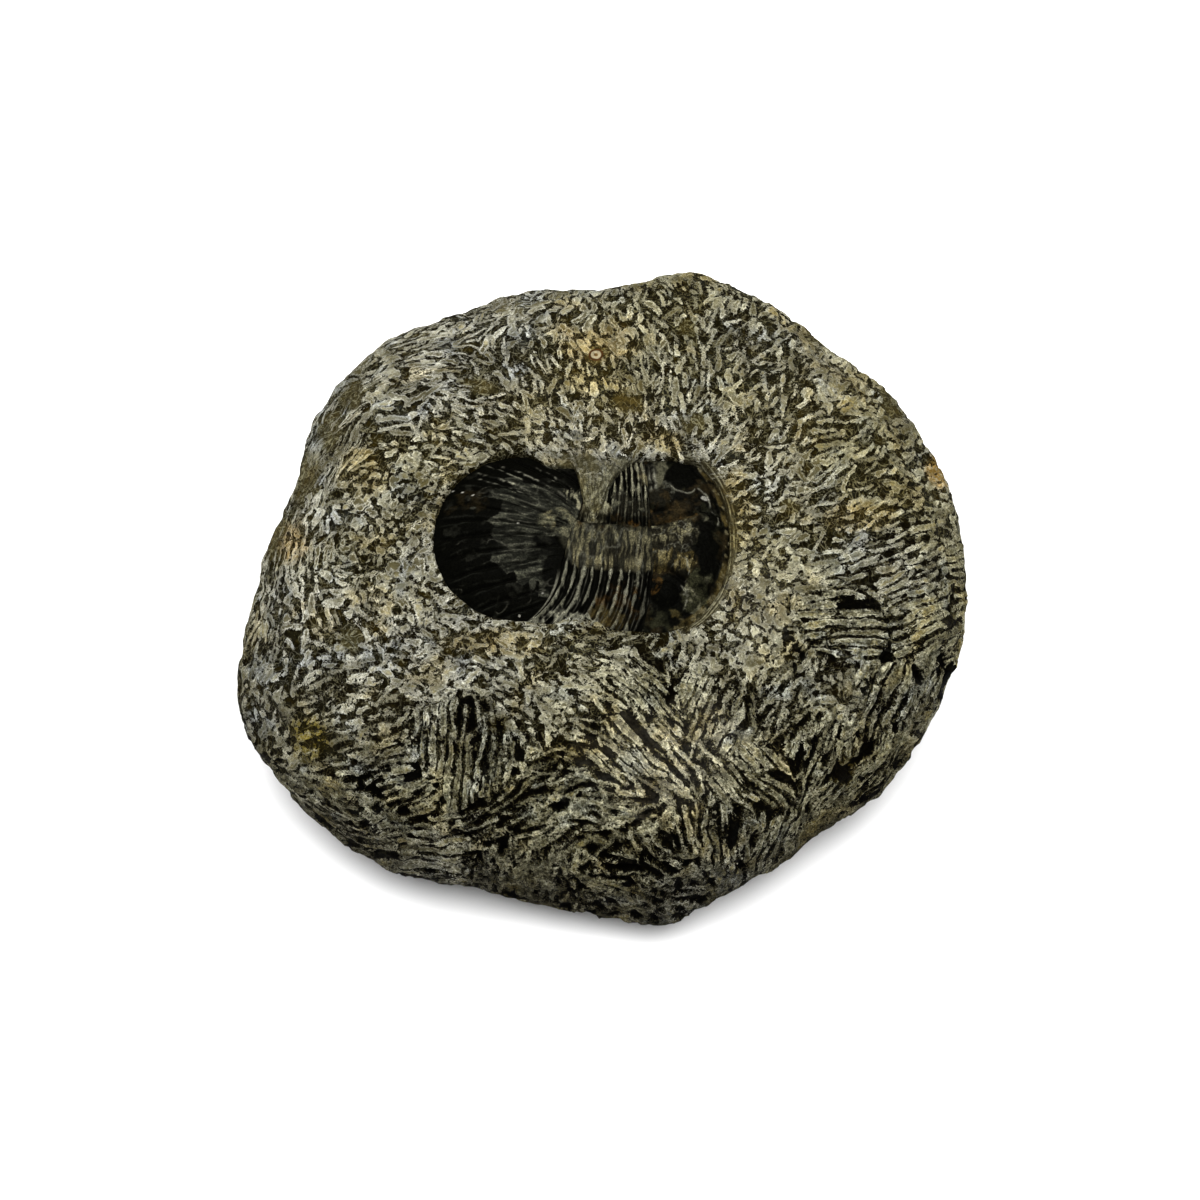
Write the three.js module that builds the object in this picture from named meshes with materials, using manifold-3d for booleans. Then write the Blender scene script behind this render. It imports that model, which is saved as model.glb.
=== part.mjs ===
// A fossil trilobite lying in an oval hollow in the top of a rounded block of
// limestone. Millimetres, +Z up. The origin is on the rest face, under the
// middle of the stone; the animal's head points to +X.
import * as THREE from 'three';
import { mergeVertices } from 'three/addons/utils/BufferGeometryUtils.js';
import Module from 'manifold-3d';

const wasm = await Module();
wasm.setup();

// ---- The stone: a nodule with a gently sloping top and a flat underside ----
const STONE_AXIS = { x: -0.54, y: -1.26 };
// Radius at the girth every 15 degrees, anticlockwise from +X.
const GIRTH_RADII = [
  58.5, 60.5, 58.5, 56, 57, 56, 49.5, 52.5, 52.5, 55, 54.5, 53,
  55.5, 60, 59, 56.5, 51.5, 49.5, 50, 52.5, 51.5, 52, 56, 58,
];
const GIRTH_HEIGHT = 20.25;
const GIRTH_RISE_TO_BACK = 7.5;
const GIRTH_RISE_AT_ENDS = 1.75;
const TOP_HEIGHT = 47.4;
const TOP_SLOPE = 0.08;
const SHOULDER_SQUARENESS = 2.8;
const SHOULDER_SQUARER_AT_BACK = 0.65;
const UNDERSIDE_SQUARENESS = 2.3;
const UNDERSIDE_DEPTH_RATIO = 1.25;
// The weathered swells move the surface away from the stone's heart.
const HEART_HEIGHT = 18;
const HEART_FLATTENING = 2;
// Each swell is a wave: its height, its steepness along x, y and z, and its phase.
const SWELLS = [
  { height: 0.25, x: 0.133, y: -0.111, z: -0.071, phase: 0.3 },
  { height: -0.25, x: 0.133, y: 0.111, z: 0.071, phase: 1.3 },
  { height: 0.2, x: 0.077, y: 0.091, z: -0.154, phase: 1.43 },
  { height: 0.2, x: 0.077, y: -0.091, z: -0.154, phase: -0.57 },
  { height: 0.3, x: 0.182, y: 0.161, z: 0.125, phase: 0 },
];
// Outwardness from the fossil where the swells begin, and over which they grow.
const CALM = { start: 1.25, width: 0.6 };

// ---- The hollow worked round the fossil ----
const DISH_DEPTH = 1.3;
const DISH_REACH = 6;
const WALL_GAP = 0.35;
const WALL_FLARE = 0.2;
const OPENING_HEIGHT = 14;
// The opening is laid out round a hub on the near side of the fossil's centre.
const HUB = { u: 0.8, v: -6.5 };
// Stone left standing into the opening: its angle from the hub, its spread and its
// length. The first is the tongue over the rear of the thorax, with its tip and its
// shoulder next.
const LEDGES = [
  { angle: 87, spread: 10.5, length: 9.6 },
  { angle: 81.5, spread: 5.5, length: 2.2 },
  { angle: 106, spread: 9, length: 2.2 },
  { angle: 61, spread: 7, length: 1.8 },
  { angle: -88, spread: 26, length: 1.1 },
];
const LEDGE_SQUARENESS = 6;
// The stone's top swells up over the tongue.
const TONGUE = { u: 1.2, v: 8.5, reachU: 3.2, reachV: 5.5, height: 3 };

// ---- The trilobite: u runs from tail to head, v from its left side to its right ----
const FOSSIL_CENTRE = { x: -3.35, y: -2.9 };
const FOSSIL_YAW = THREE.MathUtils.degToRad(-5);
const MARGIN_DEPTH = 3.2;
const OUTLINE_POWER = 2.05;
const HALF_WIDTH = 14;
// The far cheek stands out farther than the near one.
const FAR_CHEEK = { start: 5, length: 8, width: 2.2 };
const TAIL = { u: -9.3, length: 13.7 };
const HEAD = { u: 12.6, length: 10.3 };
const SEGMENTS = 10;
const THORAX_START = -1.5;
const SEGMENT_PITCH = 1.23;
// The body bends towards its far side: joints lean forwards at the tail and back
// at the head, from the near edge of the middle lobe on.
const LEAN_START = -5;
const LEAN_AT_TAIL = 0.2;
const LEAN_LOST_PER_SEGMENT = 0.033;
// The side ribs run straight out and then curve back near their tips.
const SWEEP_AT_TAIL = 4.9;
const SWEEP_LOST_PER_SEGMENT = 0.38;
const SWEEP_POWER = 4.3;
const FAR_SIDE_SWEEP = 0.3;
// Where the back's shape eases from the tail's to the thorax's, and on to the head's.
const EASES = { rear: -4.5, thorax: 0, neck: 9, head: 14.5 };
// Heights over the margin, and how full the arch is, at the tail, thorax and head.
const ARCH = { tail: 4.3, thorax: 2.8, head: 3.3 };
const FULLNESS = { tail: 2.1, thorax: 2.6, head: 3.8 };
// The lobe down the middle: half widths at its rear tip, thorax and front.
const LOBE = { tip: 0.8, thorax: 3.7, front: 6.9, height: 1.3, frontHeight: 1 };
const LOBE_TIP_LENGTH = 6.5;
const LOBE_ROUNDNESS = 0.6;
const GLABELLA = { start: 12, widening: 8, brow: 17, browLength: 5 };
const LOBE_SHIFT = { tail: 1.2, thorax: -1.4, head: -0.8 };
const SHELL = 1.2;
const MOULD_GAP = 0.5;
const JOINT_GAP = 0.15;
const PLEURA_RISE = 0.35;
const PLEURA_EDGE_DROP = 0.1;
const TAIL_RIBS = 15;
const TAIL_RIB_RISE = 0.3;
const TAIL_GATHER = 1.6;
const CORNER_TUCK = THREE.MathUtils.degToRad(5);
const EYES = [{ u: 13.6, v: -8.8 }, { u: 11.2, v: 7 }];
const EYE_RADIUS = 2.1;
const EYE_HEIGHT = 1.9;

const STONE_COLOUR = 0x6b6650;
const SHELL_COLOUR = 0x24241c;
const THORAX_COLOUR = 0x4d4b38;

const smooth = (t) => THREE.MathUtils.smoothstep(t, 0, 1);

// A smooth closed curve through values given at equal angles.
function around(values, angle) {
  const count = values.length;
  const place = THREE.MathUtils.euclideanModulo(angle / (2 * Math.PI), 1) * count;
  const start = Math.floor(place);
  const t = place - start;
  const [a, b, c, d] = [-1, 0, 1, 2].map((step) => values[(start + step + count) % count]);
  return 0.5 * (2 * b + (c - a) * t + (2 * a - 5 * b + 4 * c - d) * t * t
    + (3 * b - a - 3 * c + d) * t ** 3);
}

function girth(azimuth) {
  const radius = around(GIRTH_RADII, azimuth);
  return {
    x: STONE_AXIS.x + radius * Math.cos(azimuth),
    y: STONE_AXIS.y + radius * Math.sin(azimuth),
    z: GIRTH_HEIGHT + GIRTH_RISE_TO_BACK * Math.sin(azimuth)
      + GIRTH_RISE_AT_ENDS * Math.cos(2 * azimuth),
    radius,
  };
}

// ---- Places on the trilobite ----
function toStone(u, v) {
  const cos = Math.cos(FOSSIL_YAW);
  const sin = Math.sin(FOSSIL_YAW);
  return {
    x: FOSSIL_CENTRE.x + u * cos - v * sin,
    y: FOSSIL_CENTRE.y + u * sin + v * cos,
  };
}

function toFossil(x, y) {
  const dx = x - FOSSIL_CENTRE.x;
  const dy = y - FOSSIL_CENTRE.y;
  const cos = Math.cos(FOSSIL_YAW);
  const sin = Math.sin(FOSSIL_YAW);
  return { u: dx * cos + dy * sin, v: -dx * sin + dy * cos };
}

// 0 along the middle of the animal and 1 on its outline.
function outwardness(u, v) {
  const pastTail = Math.max((TAIL.u - u) / TAIL.length, 0);
  const pastHead = Math.max((u - HEAD.u) / HEAD.length, 0);
  const beyond = Math.max(pastTail, pastHead);
  const cheek = v > 0 ? FAR_CHEEK.width * smooth((u - FAR_CHEEK.start) / FAR_CHEEK.length) : 0;
  const across = Math.abs(v) / (HALF_WIDTH + cheek);
  return (beyond ** OUTLINE_POWER + across ** OUTLINE_POWER) ** (1 / OUTLINE_POWER);
}

// Distance from a point of the fossil to its outline in a given direction.
function reachOf(u, v, angle) {
  let inside = 0;
  let outside = 2 * (TAIL.length + HEAD.length);
  while (outside - inside > 0.001) {
    const middle = (inside + outside) / 2;
    const reached = outwardness(u + middle * Math.cos(angle), v + middle * Math.sin(angle));
    if (reached < 1) inside = middle;
    else outside = middle;
  }
  return inside;
}

function marginHeight(u, v) {
  return TOP_HEIGHT + TOP_SLOPE * (toStone(u, v).y - STONE_AXIS.y) - MARGIN_DEPTH;
}

// A size that eases from its value at the tail to its values at the thorax and the head.
function eased(sizes, u) {
  const toThorax = smooth((u - EASES.rear) / (EASES.thorax - EASES.rear));
  const toHead = smooth((u - EASES.neck) / (EASES.head - EASES.neck));
  return sizes.tail + (sizes.thorax - sizes.tail) * toThorax + (sizes.head - sizes.thorax) * toHead;
}

// The smooth arch of the whole back: high over the tail, lower over the thorax.
function arch(u, v) {
  return eased(ARCH, u) * (1 - Math.min(outwardness(u, v), 1) ** eased(FULLNESS, u));
}

// The raised lobe down the middle: pointed on the tail, widening into the glabella.
function axialLobe(u, v) {
  const onTip = smooth((THORAX_START - u) / LOBE_TIP_LENGTH);
  const widening = (LOBE.front - LOBE.thorax) * smooth((u - GLABELLA.start) / GLABELLA.widening);
  const half = LOBE.thorax - (LOBE.thorax - LOBE.tip) * onTip + widening;
  const lowering = (LOBE.height - LOBE.frontHeight) * smooth((u - GLABELLA.brow) / GLABELLA.browLength);
  const height = LOBE.height * (1 - onTip) - lowering;
  const across = (v - eased(LOBE_SHIFT, u)) / half;
  return height * Math.max(1 - across * across, 0) ** LOBE_ROUNDNESS;
}

function eyes(u, v) {
  const away = Math.min(...EYES.map((eye) => Math.hypot(u - eye.u, v - eye.v))) / EYE_RADIUS;
  return EYE_HEIGHT * Math.max(1 - away * away, 0);
}

function backHeight(u, v) {
  return marginHeight(u, v) + arch(u, v) + axialLobe(u, v) + eyes(u, v);
}

function undersideHeight(u, v) {
  return marginHeight(u, v) + arch(u, v) - SHELL;
}

// The line between two plates; line 0 is the front of the tail.
function jointLine(line, v) {
  const side = v < 0 ? 1 : FAR_SIDE_SWEEP;
  const sweep = side * (SWEEP_AT_TAIL - SWEEP_LOST_PER_SEGMENT * line);
  const out = Math.abs(v) / HALF_WIDTH;
  const lean = (LEAN_AT_TAIL - LEAN_LOST_PER_SEGMENT * line) * Math.max(v, LEAN_START);
  return THORAX_START + SEGMENT_PITCH * line + lean - sweep * out ** SWEEP_POWER;
}

// Where a joint line meets the outline on one side (-1 or 1).
function jointEnd(line, side) {
  let v = side * (HALF_WIDTH + FAR_CHEEK.width);
  while (outwardness(jointLine(line, v), v) > 1) v -= side * 0.01;
  return v;
}

// ---- Closed meshes ----
function closedGeometry(points, triangles) {
  const geometry = new THREE.BufferGeometry();
  const flat = points.flatMap((p) => [p.x, p.y, p.z]);
  geometry.setAttribute('position', new THREE.Float32BufferAttribute(flat, 3));
  geometry.setIndex(triangles.flat());
  return mergeVertices(geometry, 1e-4);
}

// Joins equal closed sections one after another and closes both ends.
function loft(sections) {
  const size = sections[0].length;
  const points = sections.flat();
  const triangles = [];
  for (let row = 0; row + 1 < sections.length; row += 1) {
    for (let column = 0; column < size; column += 1) {
      const next = (column + 1) % size;
      const a = row * size + column;
      const b = row * size + next;
      triangles.push([a, b, b + size], [a, b + size, a + size]);
    }
  }
  const last = (sections.length - 1) * size;
  const top = size / 2;
  for (let column = 0; column + 1 < top; column += 1) {
    const under = size - 1 - column;
    triangles.push([column, under, column + 1], [column + 1, under, under - 1]);
    triangles.push([last + column, last + column + 1, last + under]);
    triangles.push([last + column + 1, last + under - 1, last + under]);
  }
  return closedGeometry(points, triangles);
}

// One section of a plate: its back from front to rear, then its underside.
function plateSection(places, rise) {
  const back = places.map(({ u, v }, index) => (
    { ...toStone(u, v), z: backHeight(u, v) + rise[index] }));
  const under = places.map(({ u, v }) => ({ ...toStone(u, v), z: undersideHeight(u, v) }));
  return [...back, ...under.reverse()];
}

// Rings round a centre, closed by a point at the top and one at the bottom.
function ringBody(rings, topPoint, bottomPoint) {
  const size = rings[0].length;
  const points = [...rings.flat(), topPoint, bottomPoint];
  const top = points.length - 2;
  const bottom = points.length - 1;
  const lastRing = (rings.length - 1) * size;
  const triangles = [];
  for (let column = 0; column < size; column += 1) {
    const next = (column + 1) % size;
    triangles.push([top, column, next], [bottom, lastRing + next, lastRing + column]);
    for (let ring = 0; ring + 1 < rings.length; ring += 1) {
      const a = ring * size + column;
      const b = ring * size + next;
      triangles.push([a, a + size, b + size], [a, b + size, b]);
    }
  }
  return closedGeometry(points, triangles);
}

// ---- The stone ----
// How far the weathered surface stands out from the plain nodule: broad swells
// and hollows, which die out towards the fossil and on the rest face.
function swell(x, y, z) {
  const { u, v } = toFossil(x, y);
  const calm = smooth((outwardness(u, v) - CALM.start) / CALM.width);
  const waves = SWELLS.map((wave) => (
    wave.height * Math.cos(wave.x * x + wave.y * y + wave.z * z + wave.phase)));
  return calm * waves.reduce((sum, value) => sum + value, 0);
}

function weathered({ x, y, z }) {
  const up = HEART_FLATTENING * Math.max(z - HEART_HEIGHT, 0);
  const out = new THREE.Vector3(x - STONE_AXIS.x, y - STONE_AXIS.y, up);
  out.normalize().multiplyScalar(swell(x, y, z));
  return { x: x + out.x, y: y + out.y, z: z === 0 ? 0 : z + out.z };
}

function stoneTop(x, y) {
  const dx = x - STONE_AXIS.x;
  const dy = y - STONE_AXIS.y;
  const edge = girth(Math.atan2(dy, dx));
  const fraction = Math.min(Math.hypot(dx, dy) / edge.radius, 1);
  const crown = TOP_HEIGHT + TOP_SLOPE * dy;
  const power = SHOULDER_SQUARENESS + SHOULDER_SQUARER_AT_BACK * Math.sin(Math.atan2(dy, dx));
  const rounded = edge.z + (crown - edge.z) * (1 - fraction ** power) ** (1 / power);
  const { u, v } = toFossil(x, y);
  const outside = Math.max(outwardness(u, v) - 1, 0) * HALF_WIDTH;
  const dish = DISH_DEPTH * Math.exp(-((outside / DISH_REACH) ** 2));
  const tongueU = (u - TONGUE.u) / TONGUE.reachU;
  const tongueV = (v - TONGUE.v) / TONGUE.reachV;
  const tongue = TONGUE.height * Math.exp(-(tongueU ** 2) - tongueV ** 2);
  return rounded - dish + tongue;
}

function stoneBody() {
  const columns = 72;
  const steps = [0.12, 0.2, 0.27, 0.34, 0.42, 0.51, 0.6, 0.69, 0.78, 0.86, 0.925, 0.97, 0.993, 1];
  const underSteps = [0.2, 0.4, 0.6, 0.8, 1];
  const azimuths = Array.from({ length: columns }, (_, index) => 2 * Math.PI * index / columns);
  const upper = steps.map((step) => azimuths.map((azimuth) => {
    const edge = girth(azimuth);
    const x = THREE.MathUtils.lerp(FOSSIL_CENTRE.x, edge.x, step);
    const y = THREE.MathUtils.lerp(FOSSIL_CENTRE.y, edge.y, step);
    return weathered({ x, y, z: step === 1 ? edge.z : stoneTop(x, y) });
  }));
  const power = 2 / UNDERSIDE_SQUARENESS;
  const footAngle = Math.asin((1 / UNDERSIDE_DEPTH_RATIO) ** (1 / power));
  const lower = underSteps.map((step) => azimuths.map((azimuth) => {
    const edge = girth(azimuth);
    const angle = step * footAngle;
    const radius = edge.radius * Math.cos(angle) ** power;
    const drop = UNDERSIDE_DEPTH_RATIO * edge.z * Math.sin(angle) ** power;
    return weathered({
      x: STONE_AXIS.x + radius * Math.cos(azimuth),
      y: STONE_AXIS.y + radius * Math.sin(azimuth),
      z: step === 1 ? 0 : edge.z - drop,
    });
  }));
  const { x, y } = FOSSIL_CENTRE;
  return ringBody([...upper, ...lower], { x, y, z: stoneTop(x, y) }, { x: 0, y: 0, z: 0 });
}

// ---- The space cut out of the stone for the fossil ----
// A body round a hub between two heights over each place.
function pocket(hub, wallDistance, floor, ceiling) {
  const columns = 72;
  const steps = [0.15, 0.32, 0.48, 0.62, 0.74, 0.84, 0.92, 0.97, 1];
  const angles = Array.from({ length: columns }, (_, index) => 2 * Math.PI * index / columns);
  const ring = (step, lidShare, height) => angles.map((angle) => {
    const distance = step * wallDistance(angle, lidShare);
    const u = hub.u + distance * Math.cos(angle);
    const v = hub.v + distance * Math.sin(angle);
    return { ...toStone(u, v), z: height(u, v) };
  });
  const floorRings = steps.map((step) => ring(step, 0, floor)).reverse();
  const lidRings = steps.map((step) => ring(step, 1, ceiling));
  const centre = toStone(hub.u, hub.v);
  return ringBody(
    [...lidRings, ...floorRings],
    { ...centre, z: ceiling(hub.u, hub.v) },
    { ...centre, z: floor(hub.u, hub.v) },
  );
}

function shellPocket() {
  const wall = (angle) => reachOf(0, 0, angle) + WALL_GAP;
  const floor = (u, v) => undersideHeight(u, v) - MOULD_GAP;
  const ceiling = (u, v) => marginHeight(u, v) + arch(u, v) + PLEURA_RISE + MOULD_GAP;
  return pocket({ u: 0, v: 0 }, wall, floor, ceiling);
}

// How far the ledges reach into the opening at an angle round the hub.
function ledgeReach(angle) {
  const reaches = LEDGES.map((ledge) => {
    const away = angle - THREE.MathUtils.degToRad(ledge.angle);
    const turn = Math.atan2(Math.sin(away), Math.cos(away)) / THREE.MathUtils.degToRad(ledge.spread);
    return ledge.length * Math.exp(-(turn ** LEDGE_SQUARENESS));
  });
  return reaches.reduce((sum, reach) => sum + reach, 0);
}

function opening() {
  const wall = (angle, lidShare) => (
    reachOf(HUB.u, HUB.v, angle) + WALL_GAP - ledgeReach(angle)
    + lidShare * WALL_FLARE * OPENING_HEIGHT);
  const floor = (u, v) => marginHeight(u, v) + arch(u, v) + PLEURA_RISE;
  const ceiling = (u, v) => marginHeight(u, v) + OPENING_HEIGHT;
  return pocket(HUB, wall, floor, ceiling);
}

function toManifold(geometry) {
  return new wasm.Manifold(new wasm.Mesh({
    numProp: 3,
    vertProperties: geometry.getAttribute('position').array,
    triVerts: new Uint32Array(geometry.getIndex().array),
  }));
}

function toGeometry(solid) {
  const { vertProperties, triVerts } = solid.getMesh();
  const geometry = new THREE.BufferGeometry();
  geometry.setAttribute('position', new THREE.BufferAttribute(vertProperties, 3));
  geometry.setIndex(new THREE.BufferAttribute(triVerts, 1));
  return geometry;
}

function matrixGeometry() {
  return toGeometry(toManifold(stoneBody())
    .subtract(toManifold(shellPocket()))
    .subtract(toManifold(opening())));
}

// ---- The plates ----
// A thorax segment: a low ridge runs out along each side of the middle lobe.
function segmentGeometry(line) {
  const stations = 18;
  const nearEnd = jointEnd(line, -1);
  const farEnd = Math.min(jointEnd(line, 1), jointEnd(line + 1, 1));
  const shares = [0, 0.3, 0.62, 1];
  const rise = [-PLEURA_EDGE_DROP, PLEURA_RISE, PLEURA_RISE, -PLEURA_EDGE_DROP];
  const sections = Array.from({ length: stations + 1 }, (_, index) => {
    const v = THREE.MathUtils.lerp(nearEnd, farEnd, index / stations);
    const rear = jointLine(line, v) + JOINT_GAP;
    const front = jointLine(line + 1, v) - JOINT_GAP;
    const places = shares.map((share) => ({ u: THREE.MathUtils.lerp(rear, front, share), v }));
    return plateSection(places, rise);
  });
  return loft(sections);
}

// Places from a plate's joint line out to the outline, for one station.
function spoke(start, end, shares) {
  return shares.map((share) => ({
    u: THREE.MathUtils.lerp(start.u, end.u, share),
    v: THREE.MathUtils.lerp(start.v, end.v, share),
  }));
}

// A point on the outline, seen from one end's middle.
function outlinePoint(end, angle) {
  const reach = reachOf(end.u, 0, angle);
  return { u: end.u + reach * Math.cos(angle), v: reach * Math.sin(angle) };
}

// A shield at one end of the body. Its spokes run from the joint line at the
// thorax to the outline, gathered towards the middle there.
function shieldGeometry({ end, line, gap, gather, firstAngle, lastAngle, stations, shares, relief }) {
  const firstEnd = jointEnd(line, -1);
  const lastEnd = jointEnd(line, 1);
  const sections = Array.from({ length: stations + 1 }, (_, index) => {
    const across = 2 * index / stations - 1;
    const limit = across < 0 ? -firstEnd : lastEnd;
    const v = limit * Math.sign(across) * Math.abs(across) ** gather;
    const start = { u: jointLine(line, v) + gap, v };
    const finish = outlinePoint(end, THREE.MathUtils.lerp(firstAngle, lastAngle, index / stations));
    const rise = shares.map((share) => relief(index, share));
    return plateSection(spoke(start, finish, shares), rise);
  });
  return loft(sections);
}

function pygidiumGeometry() {
  const corner = (side) => {
    const v = jointEnd(0, side);
    const angle = Math.atan2(v, jointLine(0, v) - TAIL.u);
    return side * (Math.abs(angle) + CORNER_TUCK);
  };
  const ribs = (index, share) => TAIL_RIB_RISE * (index % 2) * Math.sin(Math.PI * share);
  return shieldGeometry({
    end: TAIL,
    line: 0,
    gap: -JOINT_GAP,
    gather: TAIL_GATHER,
    firstAngle: corner(-1),
    lastAngle: corner(1) - 2 * Math.PI,
    stations: 2 * TAIL_RIBS,
    shares: [1, 0.85, 0.68, 0.5, 0.32, 0.15, 0],
    relief: ribs,
  });
}

function cephalonGeometry() {
  const corner = (side) => {
    const v = jointEnd(SEGMENTS, side);
    const angle = Math.atan2(v, jointLine(SEGMENTS, v) - HEAD.u);
    return side * (Math.abs(angle) - CORNER_TUCK);
  };
  return shieldGeometry({
    end: HEAD,
    line: SEGMENTS,
    gap: JOINT_GAP,
    gather: 1,
    firstAngle: corner(-1),
    lastAngle: corner(1),
    stations: 29,
    shares: [0, 0.14, 0.28, 0.42, 0.56, 0.7, 0.82, 0.92, 1],
    relief: () => 0,
  });
}

// ---- The assembly ----
function part(name, geometry, color, roughness) {
  const material = new THREE.MeshStandardMaterial({ color, roughness, metalness: 0 });
  const mesh = new THREE.Mesh(geometry, material);
  mesh.name = name;
  return mesh;
}

const group = new THREE.Group();
group.add(part('matrix', matrixGeometry(), STONE_COLOUR, 0.9));
group.add(part('pygidium', pygidiumGeometry(), SHELL_COLOUR, 0.35));
for (let number = 1; number <= SEGMENTS; number += 1) {
  const name = `thorax_segment_${String(number).padStart(2, '0')}`;
  group.add(part(name, segmentGeometry(SEGMENTS - number), THORAX_COLOUR, 0.6));
}
group.add(part('cephalon', cephalonGeometry(), SHELL_COLOUR, 0.45));

export default group;
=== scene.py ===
"""Fossil trilobite in its stone: the visual model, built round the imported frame.

Shapes are worked out in millimetres, in the frame's own axes, and written to
Blender in metres. The stone and the plates follow the same formulas as the
solids they stand for, with the tool marks, ribs and wear added.
"""
import math
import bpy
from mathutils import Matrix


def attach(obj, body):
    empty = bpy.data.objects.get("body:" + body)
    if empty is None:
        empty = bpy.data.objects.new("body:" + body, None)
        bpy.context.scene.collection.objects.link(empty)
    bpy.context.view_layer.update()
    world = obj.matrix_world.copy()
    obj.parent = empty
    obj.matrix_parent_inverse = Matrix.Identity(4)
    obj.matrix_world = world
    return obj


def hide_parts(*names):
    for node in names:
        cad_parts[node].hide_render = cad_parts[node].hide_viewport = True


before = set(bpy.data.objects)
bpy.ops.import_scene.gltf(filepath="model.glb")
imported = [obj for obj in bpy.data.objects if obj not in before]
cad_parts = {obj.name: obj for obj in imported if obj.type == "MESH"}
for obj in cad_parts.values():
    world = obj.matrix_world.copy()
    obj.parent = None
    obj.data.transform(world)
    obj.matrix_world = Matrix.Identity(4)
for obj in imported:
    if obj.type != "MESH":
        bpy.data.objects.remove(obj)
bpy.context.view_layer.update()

from types import SimpleNamespace

import bpy
import numpy as np
from mathutils import Vector, kdtree

MM = 0.001
random = np.random.default_rng(11)

# ---- The stone's plain shape ----
STONE_AXIS = np.array([-0.54, -1.26])
GIRTH_RADII = np.array([
    58.5, 60.5, 58.5, 56, 57, 56, 49.5, 52.5, 52.5, 55, 54.5, 53,
    55.5, 60, 59, 56.5, 51.5, 49.5, 50, 52.5, 51.5, 52, 56, 58,
])
# How high the widest outline lies, and how much higher at the back and at both ends.
GIRTH_HEIGHT = 20.25
GIRTH_RISE_TO_BACK = 7.5
GIRTH_RISE_AT_ENDS = 1.75
TOP_HEIGHT = 47.4
TOP_SLOPE = 0.08
# How square the stone is in section; 2 is round.
SHOULDER_SQUARENESS = 2.8
SHOULDER_SQUARER_AT_BACK = 0.65
UNDERSIDE_SQUARENESS = 2.3
UNDERSIDE_DEPTH_RATIO = 1.25
# The swells push away from the stone's axis, and also upwards above this height.
HEART_HEIGHT = 18
HEART_FLATTENING = 2
# Each swell of the weathered surface: height, steepness along x, y and z, phase.
SWELLS = [
    (0.25, 0.133, -0.111, -0.071, 0.3),
    (-0.25, 0.133, 0.111, 0.071, 1.3),
    (0.2, 0.077, 0.091, -0.154, 1.43),
    (0.2, 0.077, -0.091, -0.154, -0.57),
    (0.3, 0.182, 0.161, 0.125, 0),
]
# Where the swells begin, from the fossil outwards, as shares of its width.
CALM_START = 1.25
CALM_WIDTH = 0.6

# ---- The hollow round the fossil ----
DISH_DEPTH = 1.3
DISH_REACH = 6
WALL_FLARE = 0.45
TONGUE = {"u": 1.2, "v": 8.5, "reach_u": 3.2, "reach_v": 5.5, "height": 2.6}
# The hollow is laid out round a hub on the near side of the fossil's centre.
HUB = {"u": 0.8, "v": -6.5}
# Stone left standing into the hollow: angle from the hub, spread and length. The
# first is the tongue over the rear of the thorax, with its tip and its shoulder next.
LEDGES = [(88.5, 9, 9.6), (82.5, 6.5, 2.2), (106, 9, 2.2), (61, 7, 1.4), (-88, 26, 1.1)]
LEDGE_SQUARENESS = 6

# ---- The trilobite: u runs from tail to head, v from its left side to its right ----
FOSSIL_CENTRE = np.array([-3.35, -2.9])
FOSSIL_YAW = math.radians(-5)
MARGIN_DEPTH = 3.2
OUTLINE_POWER = 2.05
HALF_WIDTH = 14
# The far cheek stands out farther than the near one.
FAR_CHEEK = {"start": 5, "length": 8, "width": 2.2}
TAIL = {"u": -9.3, "length": 13.7}
HEAD = {"u": 12.6, "length": 10.3}
SEGMENTS = 10
THORAX_START = -1.5
SEGMENT_PITCH = 1.23
# The body bends towards its far side: joints lean forwards at the tail and back
# at the head, from the near edge of the middle lobe on.
LEAN_START = -5
LEAN_AT_TAIL = 0.2
LEAN_LOST_PER_SEGMENT = 0.033
# The side ribs run straight out and then curve back near their tips.
SWEEP_AT_TAIL = 4.9
SWEEP_LOST_PER_SEGMENT = 0.38
SWEEP_POWER = 4.3
FAR_SIDE_SWEEP = 0.3
# Where the back's shape eases from the tail's to the thorax's, and on to the head's.
EASES = {"rear": -4.5, "thorax": 0, "neck": 9, "head": 14.5}
# Sizes at the tail, the thorax and the head.
ARCH = (4.3, 2.8, 3.3)
FULLNESS = (2.1, 2.6, 3.8)
LOBE_SHIFT = (1.2, -1.4, -0.8)
LOBE = {"tip": 0.8, "thorax": 3.7, "front": 6.9, "height": 1.3, "front_height": 1}
LOBE_TIP_LENGTH = 6.5
LOBE_ROUNDNESS = 0.6
GLABELLA = {"start": 12, "widening": 8, "brow": 17, "brow_length": 5}
SHELL = 1.2
MOULD_GAP = 0.5
# The least thickness of a plate, and half the gap between two of them.
LEAST_SHELL = 0.2
JOINT_GAP = 0.02
TAIL_RIBS = 15
TAIL_GATHER = 1.6
CORNER_TUCK = math.radians(5)
EYES = {"near": (13.6, -8.8), "far": (11.2, 7)}
EYE_RADIUS = 2.1
EYE_HEIGHT = 1.5

# ---- The view that the marks are laid out in ----
ELEVATION = math.radians(62)
VIEW_TARGET = np.array([-0.54, -3.26, 26])
VIEW_DISTANCE = 470
FRAME_WIDTH = 192
TOWARDS_VIEWER = np.array([0, -math.cos(ELEVATION), math.sin(ELEVATION)])
ACROSS_VIEW = np.array([1.0, 0, 0])
UP_IN_VIEW = np.array([0, math.sin(ELEVATION), math.cos(ELEVATION)])


# ---- Helpers ----
def smooth(t):
    t = np.clip(t, 0, 1)
    return t * t * (3 - 2 * t)


def peak(away, width):
    """1 where away is 0, falling to almost 0 two widths off."""
    return np.exp(-((away / width) ** 2))


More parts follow.
